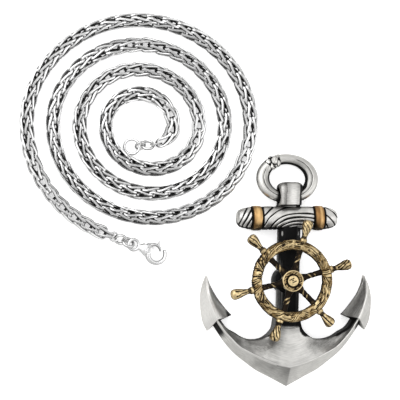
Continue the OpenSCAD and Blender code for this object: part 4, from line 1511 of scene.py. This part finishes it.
def bar(rows):
    """A bar along a line in the plane z = 0. Columns: x, y, half width, half thickness."""
    r = smooth_rows(rows, 6)
    ahead = unit(np.gradient(r[:, :2], axis=0))
    c, s = pressed_circle(circle(40), BAR_POWER)
    w, h = r[:, 2, None] * c, r[:, 3, None] * s
    rings = columns(r[:, 0, None] - ahead[:, 1, None] * w, r[:, 1, None] + ahead[:, 0, None] * w, h)
    # Domed ends: the first and last sections shrink in three steps.
    caps = []
    for end, way in ((0, -1), (-1, 1)):
        middle = rings[end].mean(0)
        reach = min(r[end, 2], r[end, 3]) * 0.8
        for lift in (0.5, 0.85, 0.98):
            moved = middle + (rings[end] - middle) * math.sqrt(1 - lift ** 2)
            moved[:, :2] += way * ahead[end] * lift * reach
            caps.append(moved)
    return skin(np.concatenate([caps[2::-1], rings, caps[3:]]))


# The clasp's neck, its lever and the lever's spur. Columns: x, y, half width, half thickness.
NECK_ROWS = [(1.35, 0, 0.5, 0.5), (1.9, 0.05, 0.8, 0.75), (2.7, 0.15, 1.35, 1.0),
             (3.5, 0.2, 1.72, 1.12), (4.2, 0.1, 1.78, 1.18), (4.7, -0.1, 1.55, 1.15)]
LEVER_ROWS = [(3.9, 1.2, 0.6, 0.68), (4.4, 1.68, 0.52, 0.7), (4.9, 2.05, 0.46, 0.7),
              (5.5, 2.22, 0.42, 0.68), (6, 2.2, 0.4, 0.66), (6.5, 2.02, 0.37, 0.62),
              (6.95, 1.7, 0.33, 0.56), (7.25, 1.2, 0.24, 0.46)]
SPUR_ROWS = [(6.15, 2.2, 0.34, 0.55), (6.2, 2.9, 0.27, 0.5), (6.22, 3.4, 0.2, 0.42)]


def clasp_shade(obj, darker):
    """Painted shade: recesses of the clasp are dark, and its flanks shaded."""
    v, n = corners_of(obj)
    to_hole = columns(CLAW[0] - v[:, 0], -v[:, 1])
    inwards = (unit(to_hole) * n[:, :2]).sum(1)
    in_slot = (np.abs(np.abs(v[:, 2]) - SLOT_HALF) < 0.01) & (v[:, 1] > 0) & (v[:, 0] < 7.65)
    mark_wear_and_shade(obj, 0.8 * in_slot + 0.3 * ramp(inwards, 0.5, 0.9) + darker,
              0.7 * ramp(n[:, 2], 0.8, 0.0) + darker, v)


def clasp_body():
    """The claw is bent round its hole, and its slot takes the lever."""
    claw = [(CLAW[0] + CLAW[1] * math.cos(t), CLAW[1] * math.sin(t), 0.66 - 0.2 * f, 1.15 - 0.4 * f)
            for t, f in zip(np.radians(np.linspace(-165, 42, 12)), np.linspace(0, 1, 12))]
    eye, eye_faces, _ = bent_ring(1.4, 0.4, math.pi / 2)
    obj = mesh_object("clasp_claw", *bar(NECK_ROWS))
    combined(obj, [mesh_object("limb", *bar(claw)), mesh_object("eye", eye, eye_faces)], "UNION")
    combined(obj, [drum("hole", CLAW_IN, -2, 2, (CLAW[0], 0), bevel=0.01),
                   box_mm("slot", (2.6, 0, -SLOT_HALF), (7.6, 4, SLOT_HALF))], "DIFFERENCE")
    combined(obj, [drum("pin", PIN_R, -1.2, 1.2, PIVOT, bevel=0.05, sides=32),
                   drum("pin_head", 0.58, 1.02, 1.28, PIVOT, bevel=0.1, sides=40),
                   drum("pin_foot", 0.58, -1.28, -1.02, PIVOT, bevel=0.1, sides=40)], "UNION")
    clasp_shade(obj, 0.0)
    return clasp_piece(obj, "root", "clasp_body")


def clasp_lever():
    obj = mesh_object("clasp_latch", *bar(LEVER_ROWS))
    combined(obj, [mesh_object("spur", *bar(SPUR_ROWS)),
                   drum("lever_eye", 0.75, -0.7, 0.7, PIVOT, bevel=0.12, sides=40)], "UNION")
    combined(obj, [drum("bore", PIN_R + 0.07, -2, 2, PIVOT, bevel=0.01, sides=32)], "DIFFERENCE")
    clasp_shade(obj, 0.25)
    return clasp_piece(obj, "lever", "clasp_lever")


def clasp_piece(obj, body, node):
    """Moves a finished part of the clasp from its own frame to its place."""
    v = beside_chain(corners_of(obj)[0] + (CLASP_S, 0, LINK_Z), START)
    obj.data.vertices.foreach_set("co", (v * MM).ravel())
    obj.data.update()
    return finished(obj, BRIGHT_STEEL, body, [node], sharp=35)


LINK_LEAN = math.radians(45)
# Radius and wire radius of the plain links
PLAIN = (1.5, 0.38)
link_piece("plain_link_1", "clasp_link_1", *PLAIN, FIRST_LINK, START, 1.1, lean=LINK_LEAN)
link_piece("plain_link_2", "clasp_link_2", *PLAIN, FIRST_LINK + 2.14, START, 4.3, lean=-LINK_LEAN)
link_piece("plain_link_3", "end_link_1", *PLAIN, FIRST_LINK, END, 1.9, lean=LINK_LEAN)
# The last one is smaller.
link_piece("plain_link_4", "end_link_2", 1.25, 0.28, FIRST_LINK + 1.99, END, 4.6, lean=-LINK_LEAN)
link_piece("last_ring", "end_ring", END_RING_R, 0.36, FIRST_LINK + 4.19, END, 2.2,
           tip=math.asin(END_DROP / END_RING_R), drop=END_DROP)
# Thin rings join the plain links to the chain's first and last loop.
link_piece("joining_ring_1", None, 1.145, 0.25, 0.095, START, 2.6, tip=0.2, drop=-0.31)
link_piece("joining_ring_2", None, 1.4, 0.25, -0.16, END, 2.6, lean=math.pi / 2, drop=-0.36)
clasp_body()
clasp_lever()
